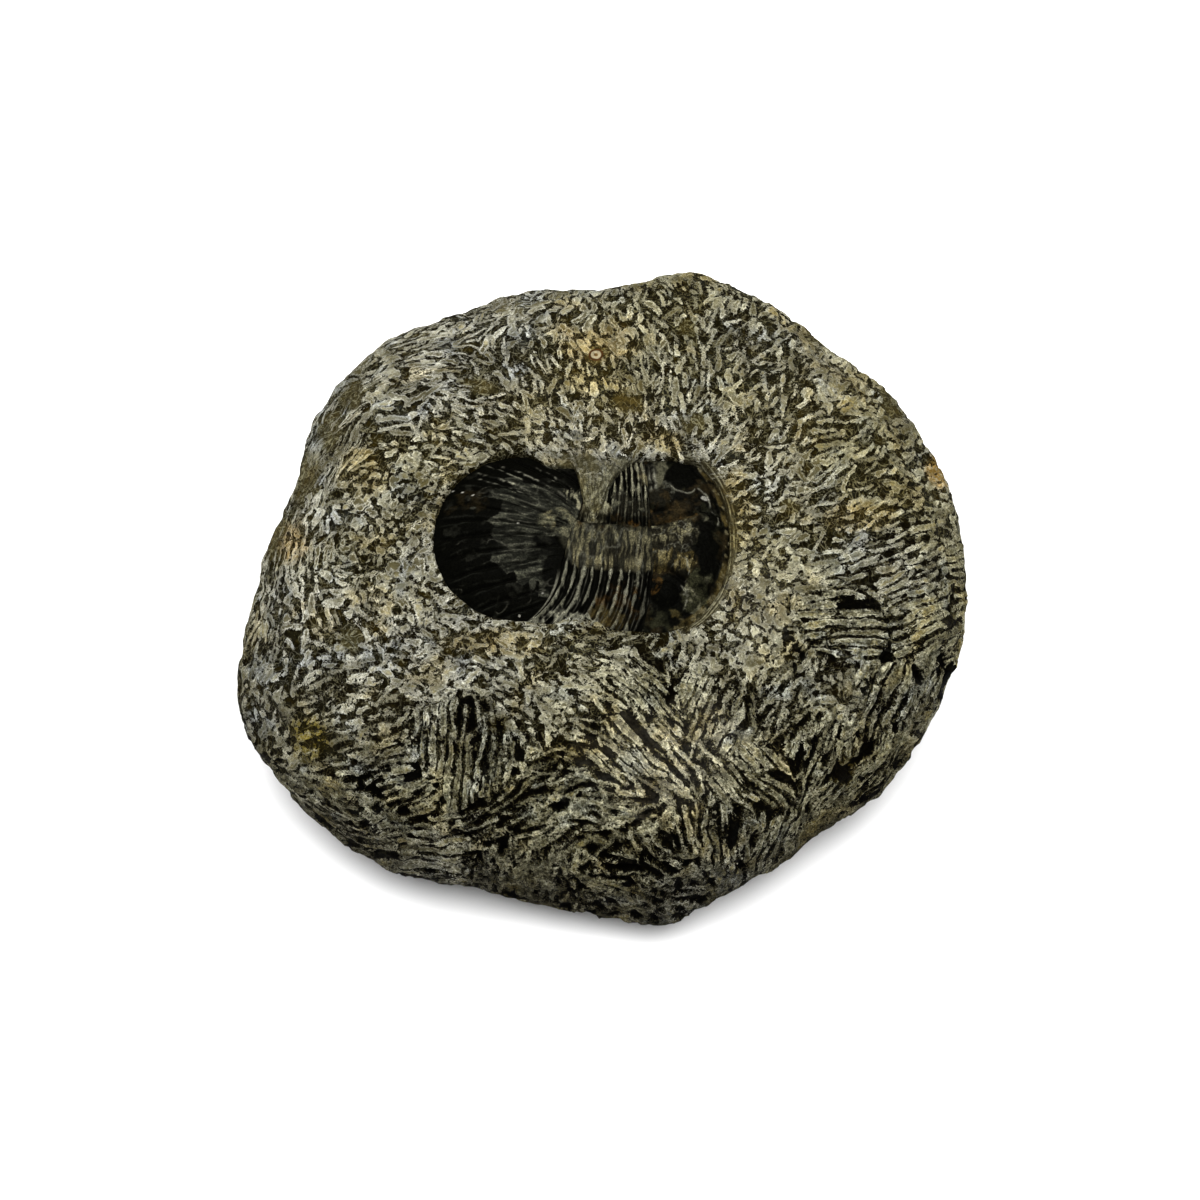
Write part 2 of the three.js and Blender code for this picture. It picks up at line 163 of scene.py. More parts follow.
def around(values, angle):
    """A smooth closed curve through values given at equal angles."""
    count = len(values)
    place = np.mod(angle / (2 * math.pi), 1) * count
    start = np.floor(place).astype(int)
    t = place - start
    a, b, c, d = (values[(start + step) % count] for step in (-1, 0, 1, 2))
    return 0.5 * (2 * b + (c - a) * t + (2 * a - 5 * b + 4 * c - d) * t ** 2
                  + (3 * b - a - 3 * c + d) * t ** 3)


def lattice_value(cell, seed):
    """A repeatable number from 0 to 1 for each whole-numbered cell."""
    h = cell[..., 0] * 374761393 + cell[..., 1] * 668265263 + cell[..., 2] * 2147483647 + seed * 974711
    h = (h ^ (h >> 13)) * 1274126177
    h = h ^ (h >> 16)
    return (h & 0xFFFFFF) / 0xFFFFFF


def noise(points, size, seed, octaves=3):
    """Smooth noise from about -1 to 1, its largest features about size across."""
    total = np.zeros(points.shape[:-1])
    strength, reach = 1.0, 0.0
    for octave in range(octaves):
        p = points / size * 2 ** octave + 57.3 * (octave + 1)
        cell = np.floor(p).astype(np.int64)
        t = p - cell
        t = t * t * (3 - 2 * t)
        value = 0
        for corner in range(8):
            offset = np.array([corner & 1, corner >> 1 & 1, corner >> 2 & 1])
            weight = np.prod(np.where(offset == 1, t, 1 - t), axis=-1)
            value = value + weight * lattice_value(cell + offset, seed + octave)
        total = total + strength * (2 * value - 1)
        reach += strength
        strength *= 0.5
    return total / reach * 1.6


# ---- Shape of the stone and the fossil ----
def girth(azimuth):
    radius = around(GIRTH_RADII, azimuth)
    height = (GIRTH_HEIGHT + GIRTH_RISE_TO_BACK * np.sin(azimuth)
              + GIRTH_RISE_AT_ENDS * np.cos(2 * azimuth))
    return radius, height


def to_stone(u, v):
    cos, sin = math.cos(FOSSIL_YAW), math.sin(FOSSIL_YAW)
    return FOSSIL_CENTRE[0] + u * cos - v * sin, FOSSIL_CENTRE[1] + u * sin + v * cos


def to_fossil(x, y):
    dx, dy = x - FOSSIL_CENTRE[0], y - FOSSIL_CENTRE[1]
    cos, sin = math.cos(FOSSIL_YAW), math.sin(FOSSIL_YAW)
    return dx * cos + dy * sin, -dx * sin + dy * cos


def outwardness(u, v):
    """0 along the middle of the animal and 1 on its outline."""
    past_tail = np.maximum((TAIL["u"] - u) / TAIL["length"], 0)
    past_head = np.maximum((u - HEAD["u"]) / HEAD["length"], 0)
    beyond = np.maximum(past_tail, past_head)
    cheek = FAR_CHEEK["width"] * smooth((u - FAR_CHEEK["start"]) / FAR_CHEEK["length"])
    across = np.abs(v) / (HALF_WIDTH + cheek * (v > 0))
    return (beyond ** OUTLINE_POWER + across ** OUTLINE_POWER) ** (1 / OUTLINE_POWER)


def reach_of(u, v, angle):
    """Distance from a point of the fossil to its outline in given directions."""
    inside = np.zeros_like(angle)
    outside = np.full_like(angle, 40.0)
    for _ in range(18):
        middle = (inside + outside) / 2
        short = outwardness(u + middle * np.cos(angle), v + middle * np.sin(angle)) < 1
        inside = np.where(short, middle, inside)
        outside = np.where(short, outside, middle)
    return inside


def margin_height(u, v):
    return TOP_HEIGHT + TOP_SLOPE * (to_stone(u, v)[1] - STONE_AXIS[1]) - MARGIN_DEPTH


def eased(sizes, u):
    """A size that eases from its value at the tail to its values at the thorax and the head."""
    to_thorax = smooth((u - EASES["rear"]) / (EASES["thorax"] - EASES["rear"]))
    to_head = smooth((u - EASES["neck"]) / (EASES["head"] - EASES["neck"]))
    return sizes[0] + (sizes[1] - sizes[0]) * to_thorax + (sizes[2] - sizes[1]) * to_head


def arch(u, v):
    return eased(ARCH, u) * (1 - np.minimum(outwardness(u, v), 1) ** eased(FULLNESS, u))


def across_lobe(u, v):
    """0 on the middle line of the back, and -1 and 1 along the edges of its raised lobe."""
    on_tip = smooth((THORAX_START - u) / LOBE_TIP_LENGTH)
    widening = (LOBE["front"] - LOBE["thorax"]) * smooth((u - GLABELLA["start"]) / GLABELLA["widening"])
    half = LOBE["thorax"] - (LOBE["thorax"] - LOBE["tip"]) * on_tip + widening
    return (v - eased(LOBE_SHIFT, u)) / half


def axial_lobe(u, v):
    on_tip = smooth((THORAX_START - u) / LOBE_TIP_LENGTH)
    on_brow = smooth((u - GLABELLA["brow"]) / GLABELLA["brow_length"])
    height = LOBE["height"] * (1 - on_tip) - (LOBE["height"] - LOBE["front_height"]) * on_brow
    return height * np.maximum(1 - across_lobe(u, v) ** 2, 0) ** LOBE_ROUNDNESS


def eye_distance(u, v):
    away = [np.hypot(u - eye_u, v - eye_v) for eye_u, eye_v in EYES.values()]
    return np.minimum(*away) / EYE_RADIUS


def joint_line(line, v):
    """The line between two plates; line 0 is the front of the tail."""
    side = np.where(v < 0, 1, FAR_SIDE_SWEEP)
    sweep = side * (SWEEP_AT_TAIL - SWEEP_LOST_PER_SEGMENT * line)
    out = np.abs(v) / HALF_WIDTH
    lean = (LEAN_AT_TAIL - LEAN_LOST_PER_SEGMENT * line) * np.maximum(v, LEAN_START)
    return THORAX_START + SEGMENT_PITCH * line + lean - sweep * out ** SWEEP_POWER


def joint_end(line, side):
    """Where a joint line meets the outline on one side (-1 or 1)."""
    v = side * (HALF_WIDTH + FAR_CHEEK["width"])
    while outwardness(joint_line(line, v), v) > 1:
        v -= side * 0.01
    return v


def stone_top(x, y):
    dx, dy = x - STONE_AXIS[0], y - STONE_AXIS[1]
    azimuth = np.arctan2(dy, dx)
    radius, height = girth(azimuth)
    fraction = np.minimum(np.hypot(dx, dy) / radius, 1)
    crown = TOP_HEIGHT + TOP_SLOPE * dy
    power = SHOULDER_SQUARENESS + SHOULDER_SQUARER_AT_BACK * np.sin(azimuth)
    rounded = height + (crown - height) * (1 - fraction ** power) ** (1 / power)
    u, v = to_fossil(x, y)
    outside = np.maximum(outwardness(u, v) - 1, 0) * HALF_WIDTH
    dish = DISH_DEPTH * peak(outside, DISH_REACH)
    tongue_u = (u - TONGUE["u"]) / TONGUE["reach_u"]
    tongue_v = (v - TONGUE["v"]) / TONGUE["reach_v"]
    return rounded - dish + TONGUE["height"] * np.exp(-(tongue_u ** 2) - tongue_v ** 2)


def swell(x, y, z):
    """How far the weathered surface stands out from the plain nodule."""
    calm = smooth((outwardness(*to_fossil(x, y)) - CALM_START) / CALM_WIDTH)
    waves = (height * np.cos(a * x + b * y + c * z + phase) for height, a, b, c, phase in SWELLS)
    return calm * sum(waves)


def weathered(points):
    x, y, z = points[..., 0], points[..., 1], points[..., 2]
    up = HEART_FLATTENING * np.maximum(z - HEART_HEIGHT, 0)
    out = np.stack([x - STONE_AXIS[0], y - STONE_AXIS[1], up], -1)
    out /= np.linalg.norm(out, axis=-1, keepdims=True) + 1e-9
    moved = points + out * swell(x, y, z)[..., None]
    moved[..., 2] = np.where(z <= 0, 0, moved[..., 2])
    return moved


# ---- Meshes ----
def add_object(name, data):
    made = bpy.data.objects.new(name, data)
    bpy.context.scene.collection.objects.link(made)
    return made


def make_mesh(name, points, faces, attributes, material, node):
    """A smooth piece in metres that stands for one solid of the frame."""
    mesh = bpy.data.meshes.new(name)
    mesh.from_pydata(points * MM, [], faces, shade_flat=False)
    mesh.validate()
    for key, values in attributes.items():
        if values.ndim == 1:
            layer = mesh.attributes.new(key, "FLOAT", "POINT")
            layer.data.foreach_set("value", values.astype(np.float32))
        else:
            layer = mesh.attributes.new(key, "FLOAT_COLOR", "POINT")
            rgba = np.column_stack([values, np.ones(len(values))])
            layer.data.foreach_set("color", rgba.astype(np.float32).ravel())
    mesh.materials.append(material)
    piece = add_object(name, mesh)
    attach(piece, "root")
    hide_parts(node)


def vertex_normals(points, faces):
    normals = np.zeros_like(points)
    a, b, c = (points[faces[:, k]] for k in (0, 1, 2))
    face_normals = np.cross(b - a, c - a)
    for k in range(faces.shape[1]):
        for axis in range(3):
            normals[:, axis] += np.bincount(faces[:, k], face_normals[:, axis], len(points))
    return normals / (np.linalg.norm(normals, axis=1, keepdims=True) + 1e-12)


def resample(curve, count):
    """Evenly spaced points round a closed curve."""
    closed = np.vstack([curve, curve[:1]])
    length = np.concatenate([[0], np.cumsum(np.linalg.norm(np.diff(closed, axis=0), axis=1))])
    places = np.arange(count) / count * length[-1]
    return np.stack([np.interp(places, length, closed[:, k]) for k in range(3)], -1)


def zip_rings(start_a, count_a, start_b, count_b):
    """Triangles between two closed rings of different counts."""
    order = np.argsort(np.concatenate([np.arange(1, count_a + 1) / count_a,
                                       np.arange(1, count_b + 1) / count_b]), kind="stable")
    on_a = order < count_a
    i = np.cumsum(on_a) - on_a
    j = np.cumsum(~on_a) - ~on_a
    a = start_a + i % count_a
    b = start_b + j % count_b
    third = np.where(on_a, start_a + (i + 1) % count_a, start_b + (j + 1) % count_b)
    return np.stack([a, b, third], -1)


# ---- The stone's mesh ----
# How far apart its points are: on the wall and the top, on the mould, down the side from
# the widest outline on, and over the base from its edge to its middle.
FINE = 0.418
MOULD_SPACING = 2.0
SIDE_SPACING = (0.55, 0.9)
SIDE_SPACING_RINGS = 12
BASE_SPACING = (1.0, 3.5)
# The stone is laid out in columns that run out from the hub, over the top and down.
COLUMNS = 1440
COLUMN_ANGLES = np.arange(COLUMNS) / COLUMNS * 2 * math.pi
HUB_PLACE = np.array(to_stone(HUB["u"], HUB["v"]))
COLUMN_DIRECTIONS = np.stack(to_stone(np.cos(COLUMN_ANGLES), np.sin(COLUMN_ANGLES)), -1) - FOSSIL_CENTRE
MOULD_RINGS = (0.25, 0.5, 0.72, 0.88)
WALL_RINGS = 9
TOP_RINGS = 128
SIDE_RINGS = 34
BASE_RINGS = 15
# The wall's foot stands this far inside the rim and this far below the animal's back.
FOOT_INSET = 0.15
FOOT_DROP = 0.7


def rim_reach(angle):
    """How far the hollow's wall stands from the hub."""
    reach = reach_of(HUB["u"], HUB["v"], angle)
    for place, spread, length in LEDGES:
        away = angle - math.radians(place)
        turn = np.arctan2(np.sin(away), np.cos(away)) / math.radians(spread)
        reach = reach - length * np.exp(-(turn ** LEDGE_SQUARENESS))
    return reach


def from_hub(distance):
    """Places at given distances from the hub, one in each column."""
    return HUB_PLACE + COLUMN_DIRECTIONS * distance[:, None]


def uneven(rim, size, seed):
    """Noise along the rim."""
    return noise(np.column_stack([from_hub(rim), np.zeros(COLUMNS)]), size, seed)


def mould_height(u, v):
    """The height of the stone that the fossil lies on."""
    return margin_height(u, v) + arch(u, v) - SHELL - MOULD_GAP


def even_profile(profile, count):
    """Rings evenly spaced along every column of a stack of rings, with the weathered swells."""
    profile = np.array(profile)
    length = np.linalg.norm(np.diff(profile, axis=0), axis=2).cumsum(axis=0)
    length = np.vstack([np.zeros(COLUMNS), length])
    result = np.empty((count, COLUMNS, 3))
    share = np.linspace(0, 1, count)
    for column in range(COLUMNS):
        places = share * length[-1, column]
        for axis in range(3):
            result[:, column, axis] = np.interp(places, length[:, column], profile[:, column, axis])
    return weathered(result)


def wall_rings(rim):
    """Rings up the hollow's wall, and how far from the hub its top is."""
    wobble = uneven(rim, 3.5, 5) * 0.3
    foot = rim - FOOT_INSET
    u, v = to_fossil(*from_hub(foot).T)
    foot_height = margin_height(u, v) + arch(u, v) + axial_lobe(u, v) - FOOT_DROP
    wall_height = stone_top(*from_hub(rim + 1.0).T) - foot_height
    rings = []
    for share in np.linspace(0, 1, WALL_RINGS):
        lean = WALL_FLARE * wall_height * share ** 1.5 + wobble * share
        plan = from_hub(foot + lean)
        height = foot_height + wall_height * np.sin(share * math.pi / 2) ** 0.9
        rings.append(np.column_stack([plan, height]))
    rings[-1][:, 2] = stone_top(*plan.T)
    return rings, foot + WALL_FLARE * wall_height + wobble


def edge_distance():
    """How far from the hub each column meets the stone's widest outline."""
    azimuth = np.linspace(-math.pi, math.pi, 7201)
    radius, _ = girth(azimuth)
    edge = STONE_AXIS + np.stack([np.cos(azimuth), np.sin(azimuth)], -1) * radius[:, None]
    angle = np.arctan2(*(edge - HUB_PLACE).T[::-1])
    order = np.argsort(angle)
    distance = np.linalg.norm(edge - HUB_PLACE, axis=1)
    own_angle = np.arctan2(*COLUMN_DIRECTIONS.T[::-1])
    return np.interp(own_angle, angle[order], distance[order], period=2 * math.pi)


def top_and_side_rings(start):
    """Rings from the hollow's rim over the shoulder, and from there down to the base."""
    end = edge_distance()
    # The steps get finer close to the edge, where the shoulder falls steeply.
    steps = np.concatenate([np.linspace(0, 0.9, 150), 1 - 0.1 * np.linspace(1, 0, 60)[1:] ** 3])
    plans = [from_hub(start + (end - start) * step) for step in steps]
    top = [np.column_stack([plan, stone_top(*plan.T)]) for plan in plans]
    edge = from_hub(end) - STONE_AXIS
    azimuth = np.arctan2(edge[:, 1], edge[:, 0])
    radius, height = girth(azimuth)
    top[-1][:, 2] = height
    power = 2 / UNDERSIDE_SQUARENESS
    foot_angle = math.asin((1 / UNDERSIDE_DEPTH_RATIO) ** (1 / power))
    side = []
    for turn in np.linspace(0, 1, 80) * foot_angle:
        out = radius * math.cos(turn) ** power
        drop = UNDERSIDE_DEPTH_RATIO * height * math.sin(turn) ** power
        plan = STONE_AXIS + out[:, None] * np.stack([np.cos(azimuth), np.sin(azimuth)], -1)
        side.append(np.column_stack([plan, height - drop]))
    side[-1][:, 2] = 0
    return even_profile(top, TOP_RINGS)[1:], even_profile(side, SIDE_RINGS)[1:]


def stone_rings():
    """Closed rings from under the fossil, up the wall, over the top and down to the base's
    middle, each with how far apart its points are."""
    rim = rim_reach(COLUMN_ANGLES)
    # The lip is uneven, the most round the tongue.
    on_tongue = peak(COLUMN_ANGLES - math.radians(LEDGES[0][0]), 0.3)
    rim = rim + (0.12 + 0.3 * on_tongue) * uneven(rim, 1.3, 91)
    rings = []
    for share in MOULD_RINGS:
        plan = from_hub(rim * share)
        height = mould_height(*to_fossil(*plan.T))
        rings.append((np.column_stack([plan, height]), MOULD_SPACING))
    wall, start = wall_rings(rim)
    top, side = top_and_side_rings(start)
    rings += [(ring, FINE) for ring in (*wall, *top)]
    side_spacing = np.interp(np.arange(len(side)), [0, SIDE_SPACING_RINGS], SIDE_SPACING)
    rings += list(zip(side, side_spacing))
    for share in np.linspace(1, 0, BASE_RINGS)[1:-1]:
        rings.append((side[-1] * [share, share, 0], np.interp(share, [0, 1], BASE_SPACING[::-1])))
    return rings


def stone_mesh():
    """The stone's points and triangles."""
    points = [np.array([[*HUB_PLACE, mould_height(HUB["u"], HUB["v"])]])]
    triangles = []
    start, count, total = 0, 1, 1
    for ring, spacing in stone_rings():
        perimeter = np.linalg.norm(ring - np.roll(ring, 1, axis=0), axis=1).sum()
        size = max(int(perimeter / spacing), 12)
        points.append(resample(ring, size))
        if count == 1:
            own = np.arange(size)
            triangles.append(np.stack([np.zeros(size, int), 1 + own, 1 + (own + 1) % size], -1))
        else:
            triangles.append(zip_rings(start, count, total, size))
        start, count = total, size
        total += size
    points.append(np.array([[0.0, 0, 0]]))
    own = np.arange(count)
    triangles.append(np.stack([np.full(count, total), start + (own + 1) % count, start + own], -1))
    return np.vstack(points), np.vstack(triangles)


# ---- The tool marks ----
# How the tool was held over each part of the stone. A place is x and the height
# in the plane that faces the viewer; the rest is the marks' direction in degrees,
# their length and width, how far they stray from that direction, how much they
# overlap, and how deep the ground between them lies.
TOOLING = [
    # x, up, direction, length, width, stray, overlap, depth
    (-32, 41, 18, 4, 1, 16, 0.21, 0.15), (-33, 33, 8, 3.7, 1.3, 16, 0.21, 0.15),
    (-34, 15, 15, 1.4, 1.3, 50, 0.24, 0.2), (-30, 8, 10, 1.6, 1.3, 45, 0.24, 0.2),
    (-25, 27, -12, 2.6, 0.9, 35, 0.24, 0.15), (-16, 29, -30, 2.4, 1, 30, 0.24, 0.15),
    (-12, 35, -65, 4.2, 0.9, 16, 0.17, 0.15), (-45, 25, 62, 5.5, 0.7, 8, 0.14, 0.15),
    (-51, 8, 80, 5, 0.7, 10, 0.14, 0.15), (-11, 47, 50, 2.6, 1.2, 35, 0.21, 0.15),
    (-2, 34, -80, 2.9, 0.9, 25, 0.17, 0.15), (-10, 25, -40, 1.8, 1, 40, 0.32, 0.15),
    (12, 49, -78, 3.6, 1.1, 30, 0.14, 0.24), (5, 39, -75, 4, 0.9, 16, 0.21, 0.15),
    (14, 32, 88, 3.9, 0.9, 18, 0.17, 0.22), (27, 32, 68, 4, 0.95, 18, 0.16, 0.25),
    (22, 42, 50, 4.2, 1, 24, 0.16, 0.24), (40, 26, 30, 4.2, 1.05, 18, 0.16, 0.25),
    (36, 38, 55, 3.8, 1.05, 24, 0.16, 0.24), (50, 25, 25, 4, 1.05, 22, 0.16, 0.24),
    (26, 17, 15, 2.9, 0.9, 30, 0.28, 0.15), (38, 13, 22, 4, 0.9, 14, 0.24, 0.2),
    (43, 6, 14, 6, 0.95, 7, 0.17, 0.35), (24, 8, 30, 1.4, 1.2, 60, 0.6, 0.2),
    (38, -4, 1, 9, 1, 4, 0.14, 0.5), (22, -6, 50, 1.4, 1.2, 60, 0.65, 0.2),
    (50, -2, 18, 6, 1, 8, 0.17, 0.4), (45, -17, 73, 8, 1.05, 5, 0.12, 0.7),
    (52, -18, 68, 6, 1, 6, 0.14, 0.6), (36, -14, 40, 2, 1, 45, 0.24, 0.35),
    (27, -17, 62, 4.5, 0.85, 14, 0.17, 0.4), (16, -18, 62, 6, 0.85, 8, 0.15, 0.45),
    (24, -28, -43, 9, 0.9, 4, 0.12, 0.45), (39, -33, 42, 5, 0.8, 14, 0.16, 0.45),
    (33, -23, 68, 6, 0.9, 7, 0.14, 0.5), (18, -37, -84, 8, 0.95, 5, 0.12, 0.6),
    (27, -39, 74, 7, 0.9, 6, 0.13, 0.5), (8, -20, -46, 8, 0.85, 6, 0.13, 0.45),
    (8, -35, -20, 3.4, 0.9, 40, 0.16, 0.7), (9, -48, -20, 3.3, 1, 20, 0.17, 0.5),
    (-46, 0, -50, 3.3, 1.3, 30, 0.24, 0.2), (-33, 0, -25, 2.2, 0.9, 35, 0.28, 0.2),
    (-24, -6, 3, 2.6, 0.9, 25, 0.28, 0.2), (-53, -13, 65, 3.3, 1, 20, 0.17, 0.25),
    (-42, -18, 13, 4, 0.9, 18, 0.17, 0.3), (-33, -32, 22, 7, 1, 7, 0.15, 0.6),
    (-20, -23, 84, 6.5, 0.95, 7, 0.13, 0.7), (-12, -33, 28, 5, 0.8, 15, 0.21, 0.5),
    (-30, -41, 0, 8, 0.85, 5, 0.15, 0.4), (-44, -37, -30, 5, 0.8, 10, 0.17, 0.4),
    (-13, -43, 86, 3.3, 0.9, 15, 0.17, 0.6), (-11, -14, -35, 2.2, 0.9, 30, 0.28, 0.3),
    (-9, -7, 5, 2.9, 0.9, 15, 0.28, 0.2),
]
# The sides that face away are worked with long, plainer strokes.
FAR_SIDE = (80, 4.5, 1.0, 15, 0.2, 0.35)
# Marks at least this long line up in rows, which lie this many widths apart.
ROW_LENGTH = 6
ROW_PITCH = 1.62
# How many places a mark is tried at, the gap that marks keep, their share of the tool's
# width, and how far they wander.
CANDIDATES = 36000
MARK_GAP = 0.1
MARK_SHARE = 0.83
WARP = 0.34
# The least that the worked stone is worn away, and how much deeper its slots go.
LEAST_WEAR = 0.1
SLOT_DEPTH = 0.6


def view_place(points):
    """Where points lie in the plane that faces the viewer."""
    offset = points - VIEW_TARGET
    return np.stack([offset[..., 0] + VIEW_TARGET[0], offset @ UP_IN_VIEW], -1)


def tooling_at(place, facing):
    """The tooling at places of that plane: direction, then the other sizes as columns."""
    table = np.array(TOOLING)
    gap = ((place[:, None, :] - table[None, :, :2]) ** 2).sum(axis=2)
    weight = 1 / (gap + 3) ** 2.5
    weight /= weight.sum(axis=1, keepdims=True)
    double = np.radians(2 * table[:, 2])
    turn = np.arctan2(weight @ np.sin(double), weight @ np.cos(double)) / 2
    far = smooth((0.1 - facing) / 0.25)
    turn = np.where(far > 0.5, math.radians(FAR_SIDE[0]), turn)
    sizes = weight @ table[:, 3:] * (1 - far[:, None]) + np.array(FAR_SIDE[1:]) * far[:, None]
    return turn, sizes


def rows_at(points, facing):
    """How surely points lie among rows of strokes, and where: along, across and the pitch."""
    table = np.array(TOOLING)
    stray = np.stack([noise(points, 2.5, seed, 2) for seed in (91, 92, 93)], -1)
    gap = np.linalg.norm(view_place(points + 0.9 * stray)[:, None] - table[None, :, :2], axis=2)
    nearest, second = np.partition(gap, 1, axis=1)[:, :2].T
    own = table[gap.argmin(axis=1)]
    x, up = view_place(points).T
    turn = np.radians(own[:, 2])
    along = x * np.cos(turn) + up * np.sin(turn)
    across = up * np.cos(turn) - x * np.sin(turn)
    across = across + 0.9 * noise(points, 9, 94) + 0.3 * noise(points, 3, 96, 2)
    pitch = ROW_PITCH * own[:, 4]
    inside = smooth((second - nearest) / 1.6 - 0.1) * (own[:, 3] >= ROW_LENGTH)
    inside = inside * smooth(facing * 4) * smooth(0.95 + 1.6 * noise(points, 5, 97, 2))
    return inside, np.stack([along / own[:, 3], across / pitch, pitch], -1)


def mark_axes(angle, normal):
    """Directions along and across a mark on the surface, from the angle that it is seen at."""
    along = math.cos(angle) * ACROSS_VIEW + math.sin(angle) * UP_IN_VIEW
    facing = normal @ TOWARDS_VIEWER
    lean = TOWARDS_VIEWER / facing if facing > 0.25 else normal
    along = along - lean * (along @ normal)
    along /= np.linalg.norm(along)
    return along, np.cross(normal, along)


def carve_marks(points, normals, allowed):
    """Lays the marks one by one.

    Each point gets how far inside its nearest mark it lies, its place along and
    across that mark, and the mark's own tone.
    """
    turn, sizes = tooling_at(view_place(points), normals @ TOWARDS_VIEWER)
    bend = [noise(points, 1.7, seed, 2) for seed in (71, 73, 75)]
    straight = smooth((sizes[:, 0] - 3) / 3)[:, None]
    points = points + WARP * (1 - 0.8 * straight) * np.stack(bend, -1)
    gap = MARK_GAP * (1 - 0.6 * straight[:, 0])
    tree = kdtree.KDTree(len(points))
    for index, point in enumerate(points):
        tree.insert(point, index)
    tree.balance()
    inside = np.full(len(points), -1.0)
    own = np.zeros((len(points), 3))
    crowding = 1 + 0.9 * noise(points, 8, 61)
    for index in random.permutation(np.flatnonzero(allowed))[:CANDIDATES]:
        length, width, stray, overlap, _ = sizes[index]
        overlap *= crowding[index]
        length *= random.uniform(0.5, 1.5)
        width *= MARK_SHARE * (1 + (0.4 - 0.25 * straight[index, 0]) * random.uniform(-1, 1))
        angle = turn[index] + math.radians(stray) * random.normal()
        along, across = mark_axes(angle, normals[index])
        half = max(length - width, 0.1) / 2
        near = np.array([hit[1] for hit in tree.find_range(points[index], half + width)])
        offset = points[near] - points[index]
        a = offset @ along
        b = offset @ across - random.normal(0, 0.02) * a ** 2
        taper = 1 - 0.5 * random.uniform(-1, 1) * np.clip(a / half, -1, 1)
        depth = width / 2 * taper - np.hypot(np.maximum(np.abs(a) - half, 0), b)
        core = depth > 0
        if core.sum() < 3 or (inside[near][core] > -gap[index]).mean() > overlap:
            continue
        better = depth > inside[near]
        tone = random.random()
        inside[near[better]] = depth[better]
        own[near[better]] = np.column_stack([a, b, np.full(len(a), tone)])[better]
    return inside, own, sizes


# ---- Facets and bare patches ----
# Flat faces where the stone has broken or been ground: the direction each one
# faces, as an angle round the outline and a tilt towards the viewer, and how
# deep it cuts.
FACETS = [
    (139, 34, 1.7), (163, 30, 1.5), (53, 28, 1.6), (33, 36, 1.3), (98, 16, 0.8), (14, 34, 1.0),
    (-48, 24, 1.0), (-72, 34, 1.2), (-18, 30, 1.0), (205, 34, 1.2), (236, 40, 1.3), (260, 30, 1.0),
    (75, -24, 1.5), (120, -30, 1.6), (20, -34, 1.3), (165, -28, 1.4), (100, -62, 1.2), (50, -50, 1.2),
]
# Smooth places that the tool left alone: x, up and the reaches.
BARE_PATCHES = [
    (-41, 34, 2.2, 3.2), (-44.5, 28, 2.3, 4.2), (-48, 20, 2.6, 5), (-53, 11, 2.2, 5),
    (4, 31, 2.4, 2.2), (14, 28, 2.6, 2), (37.5, -27, 2, 3), (37, 44, 5, 1.6),
    (47, 33, 2, 4), (-37, 45, 3, 1.2), (-24, 50, 3, 1), (29, 15, 2, 1.6),
    (-39, -6, 2.2, 1.6), (-16, -19, 2, 1.8), (14, 44, 2, 1.6), (-20, 34, 2.4, 1.2),
]


def away_from_oval(points, x, up, reach_x, reach_up):
    """How many reaches, squared, points lie from an oval on the face that is seen."""
    place = view_place(points)
    away = ((place[:, 0] - x) / reach_x) ** 2 + ((place[:, 1] - up) / reach_up) ** 2
    depth = points @ TOWARDS_VIEWER
    nearest = np.where(away < 0.5, depth, -999).max()
    return away + ((depth - nearest) / (2.5 * max(reach_x, reach_up))) ** 2


def facet_normals():
    """The direction that each facet faces."""
    table = np.array(FACETS)
    turn, tilt = np.radians(table[:, 0]), np.radians(table[:, 1])
    flat = np.cos(turn)[:, None] * ACROSS_VIEW + np.sin(turn)[:, None] * UP_IN_VIEW
    return np.cos(tilt)[:, None] * flat + np.sin(tilt)[:, None] * TOWARDS_VIEWER


def cut_facets(points):
    """Flattens the stone on its facets; also gives how far each point is from a facet's edge."""
    points = points.copy()
    rim = np.full(len(points), 9.0)
    for normal, (_, _, depth) in zip(facet_normals(), FACETS):
        along = points @ normal
        excess = along - along.max() + depth + 0.25 * noise(points, 6, 51)
        points -= normal * np.maximum(excess, 0)[:, None]
        rim = np.minimum(rim, np.abs(excess))
    return points, rim


def bareness(points):
    """1 on the bare patches, 0 away from them."""
    bare = np.zeros(len(points))
    ragged = noise(points, 4, 53) * 0.5
    for oval in BARE_PATCHES:
        bare = np.maximum(bare, smooth(1.5 - away_from_oval(points, *oval) + ragged))
    return bare


